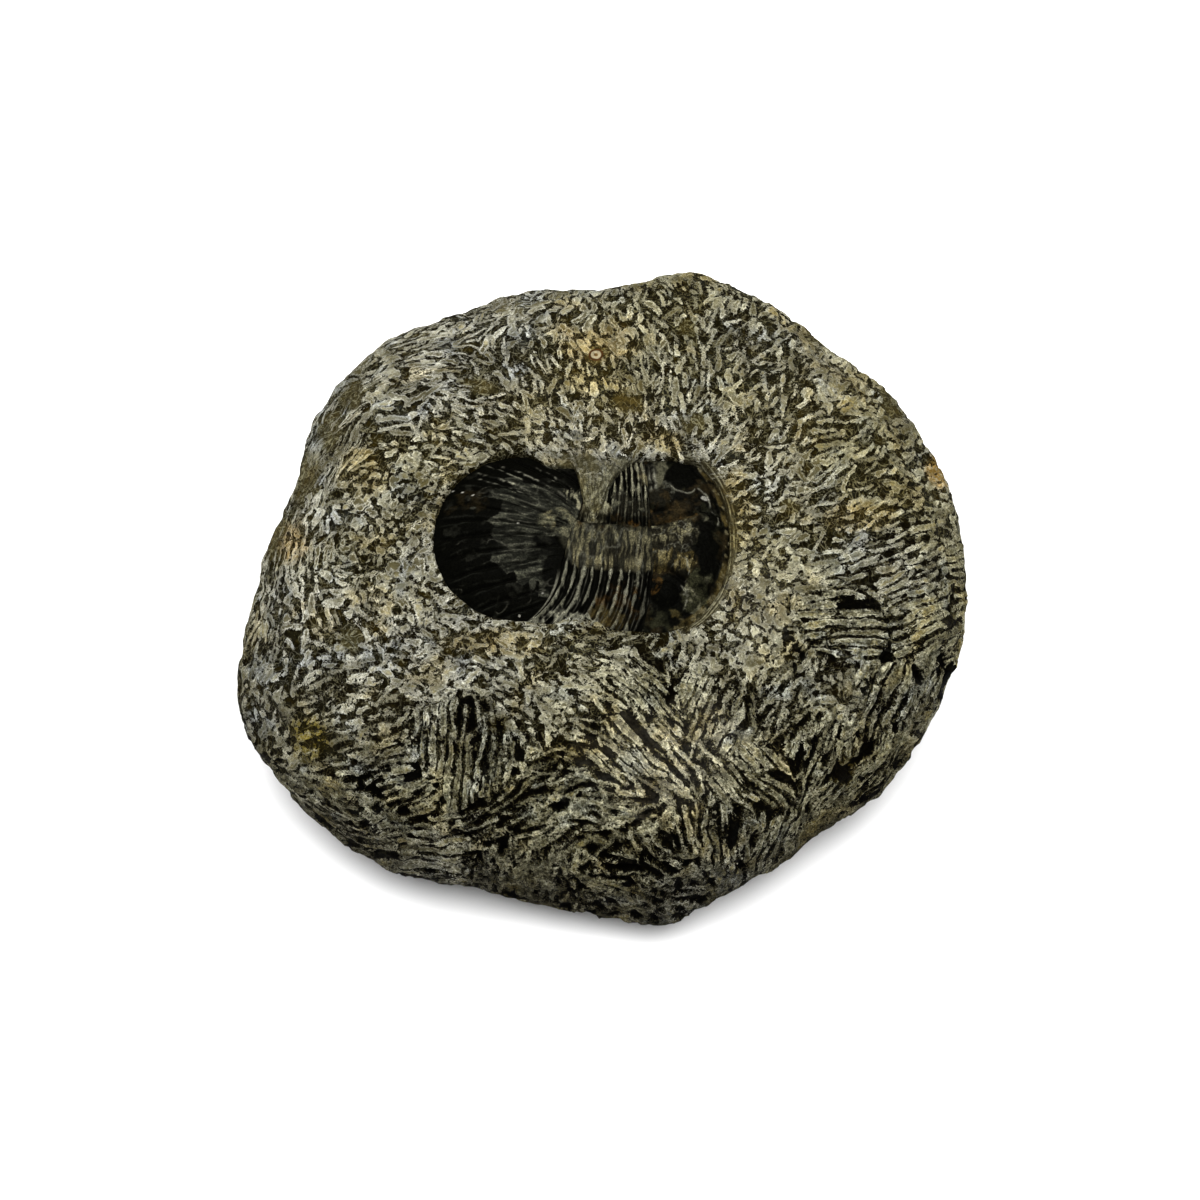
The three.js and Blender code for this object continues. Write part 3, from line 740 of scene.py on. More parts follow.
# Narrow slots where the tool went deep, painted black as shade: x, up, direction, length and width.
SLOTS = [
    (31.8, -24.6, 68, 3.6, 0.7), (33.6, -25.2, 68, 3.2, 0.6), (22, -26, 0, 0.9, 0.9),
    (28.5, -5.2, -70, 2.8, 1.2), (30.2, -7.8, -50, 2.8, 1.4), (29.5, -10.5, -70, 3, 0.8),
    (44, -8.6, 30, 2.6, 1.3), (49, -11.5, -60, 3, 1.1), (40.5, -13.5, 80, 3, 0.9),
    (54, -10, -60, 2.6, 1), (47, -26.5, 40, 2.4, 1.1), (26, -16, 62, 3, 0.6),
    (17.5, -33, -80, 4.5, 0.6), (19.3, -36.5, -82, 5, 0.6), (21.8, -40, 80, 4.5, 0.6),
    (10.5, -37, -50, 4, 1.2), (3.5, -41, 20, 3.4, 1.6), (6, -33, 30, 3, 1.1), (15, -47.5, 15, 3, 1),
    (-21.5, -18, 86, 4, 0.6), (-19.5, -22, 84, 5, 0.6), (-17.6, -27, 86, 4, 0.6), (-23, -26, 84, 3.5, 0.5),
    (-6, -31, 60, 3, 1.2), (-1, -43, 20, 3, 0.8), (-33, -26, 22, 4.5, 0.5), (-38, -31, 22, 4.5, 0.5),
]


def slots_at(place):
    """1 inside the slots, fading to 0 across their edges."""
    slot = np.zeros(len(place))
    for x, up, direction, length, width in SLOTS:
        turn = math.radians(direction)
        offset = place - [x, up]
        along = np.abs(offset @ [math.cos(turn), math.sin(turn)])
        across = offset @ [-math.sin(turn), math.cos(turn)]
        away = np.hypot(np.maximum(along - (length - width) / 2, 0), across)
        slot = np.maximum(slot, smooth((width / 2 + 0.45 - away) / 0.9))
    return slot


# Smooth corded stone along the hollow's edge at the head.
COLLAR = {"turn": 0.3, "spread": 0.8, "width": 1.6}
# How far the tongue's fibres spread round the hub, in radians.
TONGUE_TURN = 0.42


# ---- Stains ----
# A crinoid's stem joint, cut across, at the far side of the top, and how far the stone
# round it is bare of marks.
CRINOID = {"x": -1.3, "y": 29.3, "bare": 1.8}
STAINS = [
    # x, up, reach across, reach up, colour, strength
    (-1, 41, 7, 3.5, (0.4, 0.31, 0.17), 0.45),
    (-46, -22, 4, 4, (0.22, 0.18, 0.04), 0.85),
    (54, 21, 2.5, 3.5, (0.45, 0.27, 0.06), 0.8),
    (-49, 9, 3, 4, (0.29, 0.19, 0.06), 0.6),
    (40, 13, 6, 2.5, (0.34, 0.26, 0.09), 0.6),
    (-15, -6.5, 9, 2.2, (0.38, 0.3, 0.12), 0.55),
    (-38, 20, 5, 4, (0.34, 0.27, 0.12), 0.4),
    (21, 14, 3, 6, (0.33, 0.26, 0.1), 0.5),
    (9, -24, 12, 9, (0.55, 0.525, 0.47), 0.8),
    (23, 2, 6, 9, (0.5, 0.49, 0.46), 0.5),
    (-3, 30, 12, 8, (0.36, 0.3, 0.14), 0.35),
    (10, 24.5, 3, 2, (0.3, 0.25, 0.12), 0.7),
    (34, 30, 16, 12, (0.34, 0.29, 0.12), 0.25),
    (-40, -18, 12, 6, (0.34, 0.29, 0.12), 0.2),
]


def stains_at(points):
    colour = np.zeros((len(points), 3))
    amount = np.zeros(len(points))
    ragged = noise(points, 3, 21) * 0.5
    for *oval, tint, strength in STAINS:
        share = strength * smooth(1.4 - away_from_oval(points, *oval) + ragged)
        colour = colour + share[:, None] * np.array(tint)
        amount = amount + share
    return colour / (amount[:, None] + 1e-6), np.minimum(amount, 1)


# ---- Shader graphs ----
# The brightness that stays as it is where colours are drawn apart.
PIVOT = 0.38


class Value:
    """A number or a colour in a shader graph, for use in formulas."""

    def __init__(self, nodes, socket):
        self.nodes = nodes
        self.socket = socket

    def __add__(self, other):
        return self.nodes.math("ADD", self, other)

    def __sub__(self, other):
        return self.nodes.math("SUBTRACT", self, other)

    def __mul__(self, other):
        return self.nodes.math("MULTIPLY", self, other)


class Nodes:
    """Short calls for building a shader graph."""

    def __init__(self, name):
        self.material = bpy.data.materials.new(name)
        self.material.use_nodes = True
        self.tree = self.material.node_tree
        self.shader = self.tree.nodes["Principled BSDF"]

    def feed(self, socket, value):
        if isinstance(value, Value):
            self.tree.links.new(value.socket, socket)
        elif isinstance(value, tuple) and len(value) < len(socket.default_value):
            socket.default_value = (*value, 1)
        else:
            socket.default_value = value

    def node(self, kind, output, inputs, **settings):
        """One output of a new node, whose inputs are linked to values or set to numbers."""
        made = self.tree.nodes.new(kind)
        for key, value in settings.items():
            setattr(made, key, value)
        for key, value in inputs.items():
            self.feed(made.inputs[key], value)
        return Value(self, made.outputs[output])

    def attribute(self, name, output="Fac"):
        return self.node("ShaderNodeAttribute", output, {}, attribute_name=name)

    def place(self):
        return self.node("ShaderNodeTexCoord", "Object", {})

    def math(self, operation, *values):
        return self.node("ShaderNodeMath", 0, dict(enumerate(values)), operation=operation)

    def ramp(self, value, low, high, to_low=0.0, to_high=1.0):
        """Eases from to_low to to_high while the value goes from low to high."""
        limits = dict(enumerate((value, low, high, to_low, to_high)))
        return self.node("ShaderNodeMapRange", 0, limits, interpolation_type="SMOOTHSTEP")

    def mix(self, share, a, b, blend="MIX"):
        inputs = {0: share, 6: a, 7: b}
        return self.node("ShaderNodeMix", 2, inputs, data_type="RGBA", blend_type=blend)

    def coated(self, colour, coats):
        """Lays coats over a colour: pairs of how much of each shows and its colour."""
        for share, tint in coats:
            colour = self.mix(share, colour, tint)
        return colour

    def times(self, colour, factor):
        return self.mix(1.0, colour, factor, "MULTIPLY")

    def tinted(self, share, colour, factor):
        return self.mix(share, colour, self.times(colour, factor))

    def deepened(self, colour, power):
        """Draws colours apart: those under the pivot darken, by the power given."""
        inputs = {"Color": self.times(colour, (1 / PIVOT,) * 3), "Gamma": power}
        return self.times(self.node("ShaderNodeGamma", 0, inputs), (PIVOT,) * 3)

    def vector(self, *parts):
        return self.node("ShaderNodeCombineXYZ", 0, dict(enumerate(parts)))

    def parts(self, vector):
        return [self.node("ShaderNodeSeparateXYZ", axis, {0: vector}) for axis in "XYZ"]

    def random_number(self, *pair):
        """A number from 0 to 1 that stays the same for the same pair."""
        inputs = {"Vector": self.vector(*pair)}
        return self.node("ShaderNodeTexWhiteNoise", "Value", inputs, noise_dimensions="2D")

    def noise(self, size_mm, detail, roughness, distortion=0.0, shift=0.0):
        apart = (shift, shift * 0.7, shift * 1.3)
        moved = self.node("ShaderNodeVectorMath", 0, {0: self.place(), 1: apart}, operation="ADD")
        return self.node("ShaderNodeTexNoise", "Fac", {
            "Vector": moved, "Scale": 1 / (size_mm * MM), "Detail": detail,
            "Roughness": roughness, "Distortion": distortion})

    def streaks(self, along, across, tone, along_scale, across_scale):
        """Fine lines that run along each tool mark."""
        place = self.vector(along * along_scale, across * across_scale, tone * 90)
        inputs = {"Vector": place, "Scale": 1, "Detail": 3, "Roughness": 0.65}
        return self.node("ShaderNodeTexNoise", "Fac", inputs)

    def lines(self, size_mm, width, shift):
        """Thin wandering lines, where a noise crosses its middle value."""
        away = self.math("ABSOLUTE", self.noise(size_mm, 2, 0.55, 0.8, shift) - 0.5)
        return self.ramp(away, width, width * 0.2)

    def finish(self, colour, roughness, height, bump_mm, strength, shine):
        relief = {"Height": height, "Distance": bump_mm * MM, "Strength": strength}
        inputs = {"Base Color": colour, "Roughness": roughness, "Specular IOR Level": shine,
                  "Normal": self.node("ShaderNodeBump", 0, relief)}
        for name, value in inputs.items():
            self.feed(self.shader.inputs[name], value)
        return self.material


# ---- The stone's material ----
# The usual length of a stroke in a row, and how many strokes far each line of a row is
# moved along at random.
STROKE_LENGTH = 7
ROW_SHIFT = 7


def row_strokes(n):
    """Strokes side by side in rows: depth inside a stroke, place along and across it, its tone."""
    along, across, pitch = n.parts(n.attribute("rows", "Color"))
    line = n.math("FLOOR", across)
    off = (n.math("FRACT", across) - 0.5) * pitch
    broken = n.streaks(along * STROKE_LENGTH, across, 0, 0.22, 0.8) - 0.5
    along = along + n.random_number(line, 0.5) * ROW_SHIFT + broken * 0.8
    tone = n.random_number(line, n.math("FLOOR", along))
    half_width = pitch * (tone * 0.17 + 0.27)
    from_end = n.math("PINGPONG", along, 0.5) * 2.4 - 0.08
    depth = n.math("MINIMUM", half_width - n.math("ABSOLUTE", off), from_end)
    missing = n.math("LESS_THAN", tone, 0.1)
    return depth + broken * 1.3 - missing, along * STROKE_LENGTH, off, tone


def stone_marks(n):
    """What the stone's colours are worked out from. Its field is above 0 inside the marks."""
    marks = SimpleNamespace(fine=n.noise(0.3, 4, 0.8), crumb=n.noise(0.62, 4, 0.75, 0.4, 3),
                            patch=n.noise(6, 3, 0.55, 0.3, 13), deep=n.attribute("deep"),
                            contrast=n.attribute("contrast"), curtain=n.attribute("curtain"))
    in_rows = n.math("GREATER_THAN", n.attribute("in_rows") + (marks.crumb - 0.5) * 0.8, 0.5)
    single = n.attribute("mark"), *n.parts(n.attribute("own", "Color"))
    chosen = [a + (b - a) * in_rows for a, b in zip(single, row_strokes(n))]
    mark, along, across, marks.tone = chosen
    marks.streak = n.streaks(along, across, marks.tone, 0.6, 3.2)
    crumbliness = marks.contrast * 0.7 - n.attribute("straight") * 0.6 + 1.05
    ragged = (marks.crumb - 0.5) * crumbliness + (marks.streak + marks.fine + marks.patch - 1.5) * 0.9
    # Along the facets' ridges the stone turns pale: partly chipped stone, partly a painted highlight on
    # the ridge line.
    edge = n.attribute("edge") * n.ramp(marks.crumb, 0.4, 0.54)
    marks.field = mark + ragged + marks.deep * 0.01 + edge * 0.4 - 0.1
    marks.pale = n.ramp(marks.field, -0.03, 0.05)
    # Painted highlight: a thin bright outline along each mark's edge.
    marks.rim = n.ramp(marks.field, 0.0, 0.06) * n.ramp(marks.field, 0.24, 0.12)
    marks.scratches = n.math("MAXIMUM", n.lines(2.6, 0.018, 19), n.lines(1.5, 0.022, 17))
    beyond, turn = n.attribute("beyond"), n.attribute("round")
    marks.cord = n.streaks(beyond, turn, 0, 3.5, 0.35)
    marks.fibre = n.streaks(beyond, turn, 0, 0.7, 2.4)
    return marks


def ground_colour(n, marks):
    """The dark stone between the marks, with a painted shadow at the marks' feet and painted shade where
    the stone is worked deep.
    """
    # Painted shadow: a darker band in the ground just outside each mark's edge.
    foot = n.ramp(marks.field, -0.34, -0.2) * n.ramp(marks.field, 0.02, -0.06)
    dark = n.coated((0.0062, 0.0049, 0.0013), [
        (n.ramp(n.noise(2.6, 3, 0.6, 0.4, 5), 0.42, 0.6), (0.012, 0.0105, 0.0046)),
        (n.ramp(n.noise(3.8, 3, 0.6, 0.4, 7), 0.5, 0.66), (0.024, 0.018, 0.004)),
        (n.ramp(n.noise(4.5, 3, 0.6, 0.4, 9), 0.54, 0.66), (0.013, 0.0135, 0.0108)),
        (n.ramp(n.noise(0.42, 3, 0.8, 0.3, 23), 0.56, 0.62, 0, 0.4), (0.085, 0.076, 0.032)),
        (marks.deep * n.ramp(n.noise(0.75, 4, 0.8, 0.5, 43), 0.5, 0.61, 0, 0.5), (0.074, 0.064, 0.028)),
        # Painted shadow along the marks' feet.
        (foot * 0.92, (0.0038, 0.0026, 0.0006)),
    ])
    # Painted shade: the ground darkens where the stone is worked deep.
    dark = n.tinted(marks.deep, dark, (0.6, 0.56, 0.42))
    return n.mix(marks.scratches * 0.5, dark, (0.24, 0.228, 0.155))


def mark_colour(n, marks):
    """The pale bruised stone of the marks, with a painted highlight along their rims and painted shade
    where the stone is worked deep.
    """
    wear = n.ramp(n.noise(1.7, 3, 0.6, 0.3, 29), 0.36, 0.58, 0.5, 1.1)
    worn = n.math("POWER", marks.tone, 0.5) * wear
    bright = n.mix(worn, (0.24, 0.232, 0.175), (0.7, 0.69, 0.59))
    web = n.ramp(n.noise(5.5, 2, 0.5, 0.3, 51), 0.45, 0.57) * n.ramp(marks.contrast, 0.5, 0.1)
    light = n.coated(n.mix(worn, (0.068, 0.061, 0.031), (0.3, 0.294, 0.226)), [
        (n.ramp(n.noise(5, 3, 0.6, 0.3, 11), 0.5, 0.66, 0, 0.8), (0.27, 0.24, 0.132)),
        (n.ramp(n.noise(4, 3, 0.6, 0.3, 15), 0.54, 0.66, 0, 0.7), (0.17, 0.175, 0.15)),
        (n.ramp(marks.streak, 0.56, 0.38, 0, 0.75), (0.046, 0.039, 0.019)),
        # Painted highlight along the marks' rims.
        (marks.rim * 0.95, bright),
        (marks.scratches * 0.5, bright),
        (web * n.ramp(marks.field, 0.12, 0.27, 0, 0.8), (0.052, 0.045, 0.02)),
        (n.ramp(marks.patch, 0.56, 0.36, 0, 0.4), (0.085, 0.078, 0.05)),
        (n.ramp(marks.fine, 0.44, 0.37, 0, 0.6), (0.036, 0.031, 0.014)),
    ])
    # Painted shade: the marks darken where the stone is worked deep.
    light = n.tinted(marks.deep * 0.9, light, (0.655, 0.66, 0.665))
    grit = n.ramp(n.noise(0.8, 5, 0.85, 0.3, 61), 0.38, 0.6, 0.32, 1.6)
    return n.tinted(marks.deep, light, grit)


def bare_and_gaps(n, marks, colour):
    """Smooth stone where the tool missed, and painted shade: black in the gaps and slots where it went
    deep.
    """
    ground = n.mix(n.ramp(marks.crumb, 0.4, 0.6), (0.02, 0.016, 0.006), (0.064, 0.054, 0.023))
    ground = n.mix(marks.scratches * 0.7, ground, (0.25, 0.235, 0.15))
    slot = n.attribute("slot") + (marks.crumb - 0.5) * 2.2
    gap = n.math("MAXIMUM", marks.deep * n.ramp(marks.field, -0.2, -0.42), n.ramp(slot, 0.42, 0.62))
    return n.coated(colour, [
        (n.attribute("bare") * n.ramp(marks.field, 0.25, -0.05, 0.35, 0.85), ground),
        # Painted shade: black in the deep gaps between marks and in the slots.
        (gap * 0.95, (0.0022, 0.0018, 0.001)),
    ])


def hollow_edge(n, marks, colour):
    """Cords of stone along the hollow's edge at the head, and fibres that hang from the tongue."""
    cords = n.mix(n.ramp(marks.cord, 0.48, 0.62), (0.026, 0.022, 0.011), (0.19, 0.18, 0.12))
    fibres = n.coated((0.04, 0.036, 0.019), [
        (n.ramp(marks.fibre, 0.36, 0.62), (0.22, 0.21, 0.135)),
        (n.ramp(marks.crumb, 0.54, 0.44, 0, 0.85), (0.026, 0.023, 0.012)),
        (n.ramp(marks.patch, 0.5, 0.4, 0, 0.55), (0.046, 0.04, 0.018)),
    ])
    return n.coated(colour, [
        (n.attribute("collar") * n.ramp(marks.crumb, 0.38, 0.54, 0.2, 1), cords),
        (marks.curtain * n.ramp(marks.patch, 0.44, 0.6, 0.55, 0.9), fibres),
    ])


def stained(n, marks, colour):
    """The stains, and then wide tints: warm, cool, yellow, and a painted shade that darkens the stone low
    down.
    """
    stain = n.attribute("stain", "Color")
    soaked = n.times(n.times(colour, stain), (2.6, 2.6, 2.6))
    soaked = n.mix(n.ramp(marks.pale, 0, 1, 0.03, 0.12), soaked, stain)
    share = n.attribute("stain_amount") * n.ramp(marks.crumb, 0.38, 0.58, 0.25, 1.0)
    colour = n.mix(share, colour, soaked)
    tint = n.noise(6.5, 3, 0.55, 0.4, 57)
    for share, factor in (
            (n.attribute("warmth") * n.ramp(marks.pale, 0, 1, 1.0, 0.8), (1.0, 0.955, 0.74)),
            (n.ramp(tint, 0.54, 0.66), (0.93, 0.98, 1.13)),
            (n.ramp(tint, 0.45, 0.34), (1.07, 1.0, 0.84)),
            # Painted shade: the stone darkens towards the bottom.
            (n.attribute("soot"), (0.4, 0.385, 0.36))):
        colour = n.tinted(share, colour, factor)
    return colour


def stone_material(crinoid):
    """The worked limestone, with a crinoid's stem joint at the place given."""
    n = Nodes("worked_limestone")
    marks = stone_marks(n)
    colour = n.mix(marks.pale, ground_colour(n, marks), mark_colour(n, marks))
    colour = bare_and_gaps(n, marks, colour)
    colour = n.deepened(colour, marks.contrast * 0.24 + 1.1)
    colour = stained(n, marks, hollow_edge(n, marks, colour))
    ends = {0: n.place(), 1: tuple(crinoid * MM)}
    away = n.node("ShaderNodeVectorMath", "Value", ends, operation="DISTANCE") * (1 / MM)
    ring = n.ramp(away, 0.75, 0.9) * n.ramp(away, 1.3, 1.1)
    colour = n.coated(colour, [
        (n.ramp(away, 1.15, 0.9), (0.3, 0.25, 0.15)),
        (ring, (0.05, 0.022, 0.006)),
        (n.ramp(away, 0.4, 0.25), (0.1, 0.06, 0.02)),
    ])
    height = (marks.pale * 0.7 + marks.fine * 0.8 + marks.fibre * marks.curtain * 1.2 + marks.rim * 0.4
              + marks.scratches * 0.3 + marks.streak * 0.5 + marks.crumb * 0.6 - ring * 0.8)
    roughness = n.ramp(marks.pale, 0, 1, 0.75, 0.95)
    return n.finish(colour, roughness, height, bump_mm=0.3, strength=1.0, shine=0.01)


def shell_material(name, gloss):
    """Painted shell with fine grain and thin pale hairs. Its gloss is its roughness without dust."""
    n = Nodes(name)
    dust = n.attribute("dust")
    paint = n.attribute("paint", "Color")
    grain = n.noise(0.32, 4, 0.8)
    hairs = n.math("MAXIMUM", n.lines(1.1, 0.03, 31), n.lines(0.8, 0.025, 37))
    hairs = hairs * n.ramp(dust, 0.1, 0.9, 0.1, 0.8)
    colour = n.times(paint, n.ramp(grain, 0.34, 0.66, 0.5, 1.5))
    colour = n.mix(hairs, colour, n.times(paint, (3.2, 3.2, 3.0)))
    roughness = n.ramp(dust, 0, 0.8, gloss, 0.85)
    return n.finish(colour, roughness, grain * 0.7 + hairs * 0.5, bump_mm=0.1, strength=0.9, shine=0.004)


# ---- Building the stone ----
# The band at the foot that keeps its plain shape, the band at the crown that the hollow
# lies in, and how far out the stone stays as smooth as it is inside the hollow.
REST_BAND = 0.3
TOP_BAND = 9
HIDDEN_REACH = 0.3


def collar_and_curtain(points, turn, beyond_rim, plan_out):
    """Where the corded collar and the tongue's fibres are, from 0 to 1."""
    near_collar = COLLAR["spread"] - np.abs(turn - COLLAR["turn"]) + 0.15 * noise(points, 2, 47)
    collar = smooth((COLLAR["width"] - beyond_rim) / 0.8) * smooth(near_collar / 0.3)
    off_tongue = np.abs(turn - math.radians(LEDGES[0][0])) - 0.08 * noise(points, 1.5, 87)
    curtain = smooth((1.0 - plan_out + 0.08 * noise(points, 1.5, 83)) / 0.06)
    return collar, curtain * smooth((TONGUE_TURN - off_tongue) / 0.1)


def carved_slots(points, facing):
    """1 in the slots, which are painted black as shade and have uneven edges."""
    stray = np.stack([noise(points, 1, 79, 2), *[noise(points, 1, 81, 2)] * 2], -1)
    return slots_at(view_place(points + 0.6 * stray)) * (facing > 0.1)


def build_stone():
    points, triangles = stone_mesh()
    from_crinoid = np.hypot(points[:, 0] - CRINOID["x"], points[:, 1] - CRINOID["y"])
    from_crinoid[points[:, 2] < HEART_HEIGHT] = np.inf
    rest = points[:, 2] < REST_BAND
    faceted, from_facet_edge = cut_facets(points)
    points = np.where(rest[:, None], points, faceted)
    normals = vertex_normals(points, triangles)
    facing = normals @ TOWARDS_VIEWER

    u, v = to_fossil(points[:, 0], points[:, 1])
    plan_out = outwardness(u, v)
    turn = np.arctan2(v - HUB["v"], u - HUB["u"])
    beyond_rim = np.hypot(u - HUB["u"], v - HUB["v"]) - rim_reach(turn)
    on_top = points[:, 2] > TOP_HEIGHT - TOP_BAND
    hidden = on_top & (beyond_rim < HIDDEN_REACH)
    bare = np.maximum(bareness(points), from_crinoid < CRINOID["bare"])
    collar, curtain = on_top * np.array(collar_and_curtain(points, turn, beyond_rim, plan_out))
    mark, own, sizes = carve_marks(points, normals, ~(rest | hidden | (bare > 0.5) | (collar > 0.6)))
    length, depth = sizes[:, 0], sizes[:, 4]
    in_rows, rows = rows_at(points, facing)
    slot = carved_slots(points, facing)

    # How far the surface is worn in: wide lumps, the ground between the marks, and the slots.
    calm = smooth((plan_out - 1.1) / 0.5)
    lumps = 0.6 + 0.45 * noise(points, 9, 31, 3) + 0.42 * noise(points, 2.8, 37, 3)
    row_mark = rows[:, 2] * (0.36 - np.abs(rows[:, 1] % 1 - 0.5))
    ground = depth * smooth(0.25 - np.where(in_rows > 0.5, row_mark, mark) / 0.45)
    ground = ground + 0.1 * (own[:, 2] - 0.5)
    inward = lumps * np.where(on_top, calm, 1) + np.where(hidden, 0, ground)
    inward = np.maximum(inward + 0.08 * noise(points, 1.2, 33, 2), LEAST_WEAR) + SLOT_DEPTH * slot
    inward[rest | hidden] = 0
    inward *= smooth(points[:, 2] / 1.5)
    points = points - normals * inward[:, None]

    stain, stain_amount = stains_at(points)
    attributes = {
        "mark": mark, "own": own, "rows": rows, "in_rows": in_rows, "slot": slot, "bare": bare,
        "collar": collar, "curtain": curtain, "beyond": beyond_rim, "round": turn * 12,
        "stain": stain, "stain_amount": stain_amount,
        # Pale ridge lines along the facets' edges: partly chipped stone, partly a painted highlight.
        "edge": peak(from_facet_edge, 0.28) * ~rest * ~hidden,
        "deep": smooth((depth - 0.2) / 0.3),
        "contrast": smooth((depth - 0.1) / 0.4),
        "straight": smooth((length - 4) / 3),
        # Painted shade: how much darker the stone is painted towards the bottom.
        "soot": smooth((30 - points[:, 2] + 3 * noise(points, 8, 85)) / 22),
        "warmth": smooth(0.5 + 0.006 * points[:, 0] + 0.7 * noise(points, 16, 63)),
    }
    material = stone_material(points[from_crinoid.argmin()])
    make_mesh("matrix_stone", points, triangles, attributes, material, "matrix")


# ---- Building the plates ----
# How many points each kind of plate has across the animal and along it.
SEGMENT_POINTS = (290, 26)
TAIL_POINTS = (345, 118)
HEAD_POINTS = (300, 146)
# Colours of the shell as light-reflecting shares.
BLACK = (0.0009, 0.0009, 0.0006)
DUSTY_BLACK = (0.0075, 0.0077, 0.0058)
DUST = (0.022, 0.022, 0.016)
PALE_DUST = (0.085, 0.083, 0.062)
GREY_DUST = (0.0595, 0.0581, 0.0434)
BEIGE = (0.045, 0.043, 0.027)
BROWN = (0.0115, 0.0082, 0.0034)
RUST = (0.032, 0.0165, 0.0038)
STRAND = (0.044, 0.04, 0.023)
OCHRE = (0.028, 0.021, 0.007)
OCHRE_DUST = (0.08, 0.07, 0.038)
GREENISH = (0.009, 0.009, 0.0048)
DARK_CRUMBS = (0.0045, 0.0041, 0.0026)
WHITE = (0.2, 0.195, 0.165)
RUBBLE = (0.024, 0.021, 0.011)
PALE_RUBBLE = (0.125, 0.118, 0.076)


def flat(u, v):
    return np.stack([u, v, np.zeros_like(u)], -1)


def zone(spots, centre, reach, ragged, seed):
    """1 inside an oval with an uneven edge, 0 outside it."""
    away = np.hypot((spots[..., 0] - centre[0]) / reach[0], (spots[..., 1] - centre[1]) / reach[1])
    return smooth((1.1 - away + ragged * noise(spots, 1.6, seed)) / 0.25)


def veins(spots, size, width, seed):
    """Thin winding lines, about size apart."""
    bent = spots + 0.3 * size * noise(spots, 0.6 * size, seed + 1)[..., None]
    return peak(noise(bent, size, seed, 2), width)


def flakes(u, v, size, seed):
    """Splits the back into angular flakes: the middle of each place's flake, and its own number."""
    least = np.full(u.shape, 99.0)
    found = np.zeros((3, *u.shape))
    for step_u in (-1, 0, 1):
        for step_v in (-1, 0, 1):
            cell = np.floor(flat(u, v) / size).astype(np.int64) + [step_u, step_v, 0]
            at_u = (cell[..., 0] + lattice_value(cell, seed)) * size
            at_v = (cell[..., 1] + lattice_value(cell, seed + 1)) * size
            away = np.hypot(u - at_u, v - at_v)
            own = np.stack([at_u, at_v, lattice_value(cell, seed + 2)])
            found = np.where(away < least, own, found)
            least = np.minimum(least, away)
    return found


def coated(base, coats):
    """Lays coats over a base colour: pairs of how much of each shows, from 0 to 1, and its colour."""
    paint = np.broadcast_to(base, (*coats[0][0].shape, 3))
    for share, colour in coats:
        share = np.clip(share, 0, 1)[..., None]
        paint = paint * (1 - share) + np.array(colour) * share
    return paint


def plate(name, node, slot, spots, relief, paint, dust, material):
    """A closed shell from a grid of places: its back, its underside and its edges."""
    rows, columns = relief.shape
    u, v = spots[..., 0].ravel(), spots[..., 1].ravel()
    x, y = to_stone(u, v)
    back = margin_height(u, v) + arch(u, v) + axial_lobe(u, v) + relief.ravel()
    under = np.minimum(margin_height(u, v) + arch(u, v) - SHELL, back - LEAST_SHELL)
    points = np.vstack([np.column_stack([x, y, back]), np.column_stack([x, y, under])])
    index = np.arange(rows * columns).reshape(rows, columns)
    corners = index[:-1, :-1], index[:-1, 1:], index[1:, 1:], index[1:, :-1]
    upper = np.stack(corners, -1).reshape(-1, 4)
    loop = np.concatenate([index[0, :-1], index[:-1, -1], index[-1, :0:-1], index[:0:-1, 0]])
    after = np.roll(loop, -1)
    shift = rows * columns
    side = np.stack([after, loop, loop + shift, after + shift], -1)
    faces = np.vstack([upper, upper[:, ::-1] + shift, side])
    first, second, third = points[faces[len(upper) // 2][:3]]
    if np.cross(second - first, third - first)[2] < 0:
        faces = faces[:, ::-1]
    attributes = {"paint": np.vstack([paint.reshape(-1, 3)] * 2), "dust": np.tile(dust.ravel(), 2)}
    make_mesh(name, points, faces, attributes, material, node)


# ---- The thorax ----
def segment_grid(line):
    """Places on a segment, and their share of the way from its rear edge to its front."""
    far = min(joint_end(line, 1), joint_end(line + 1, 1))
    across_count, along_count = SEGMENT_POINTS
    v = np.linspace(joint_end(line, -1), far, across_count)[:, None] * np.ones(along_count)
    share = np.linspace(0, 1, along_count)[None, :]
    rear = joint_line(line, v) + JOINT_GAP
    front = joint_line(line + 1, v) - JOINT_GAP
    return flat(rear + (front - rear) * share, v), share


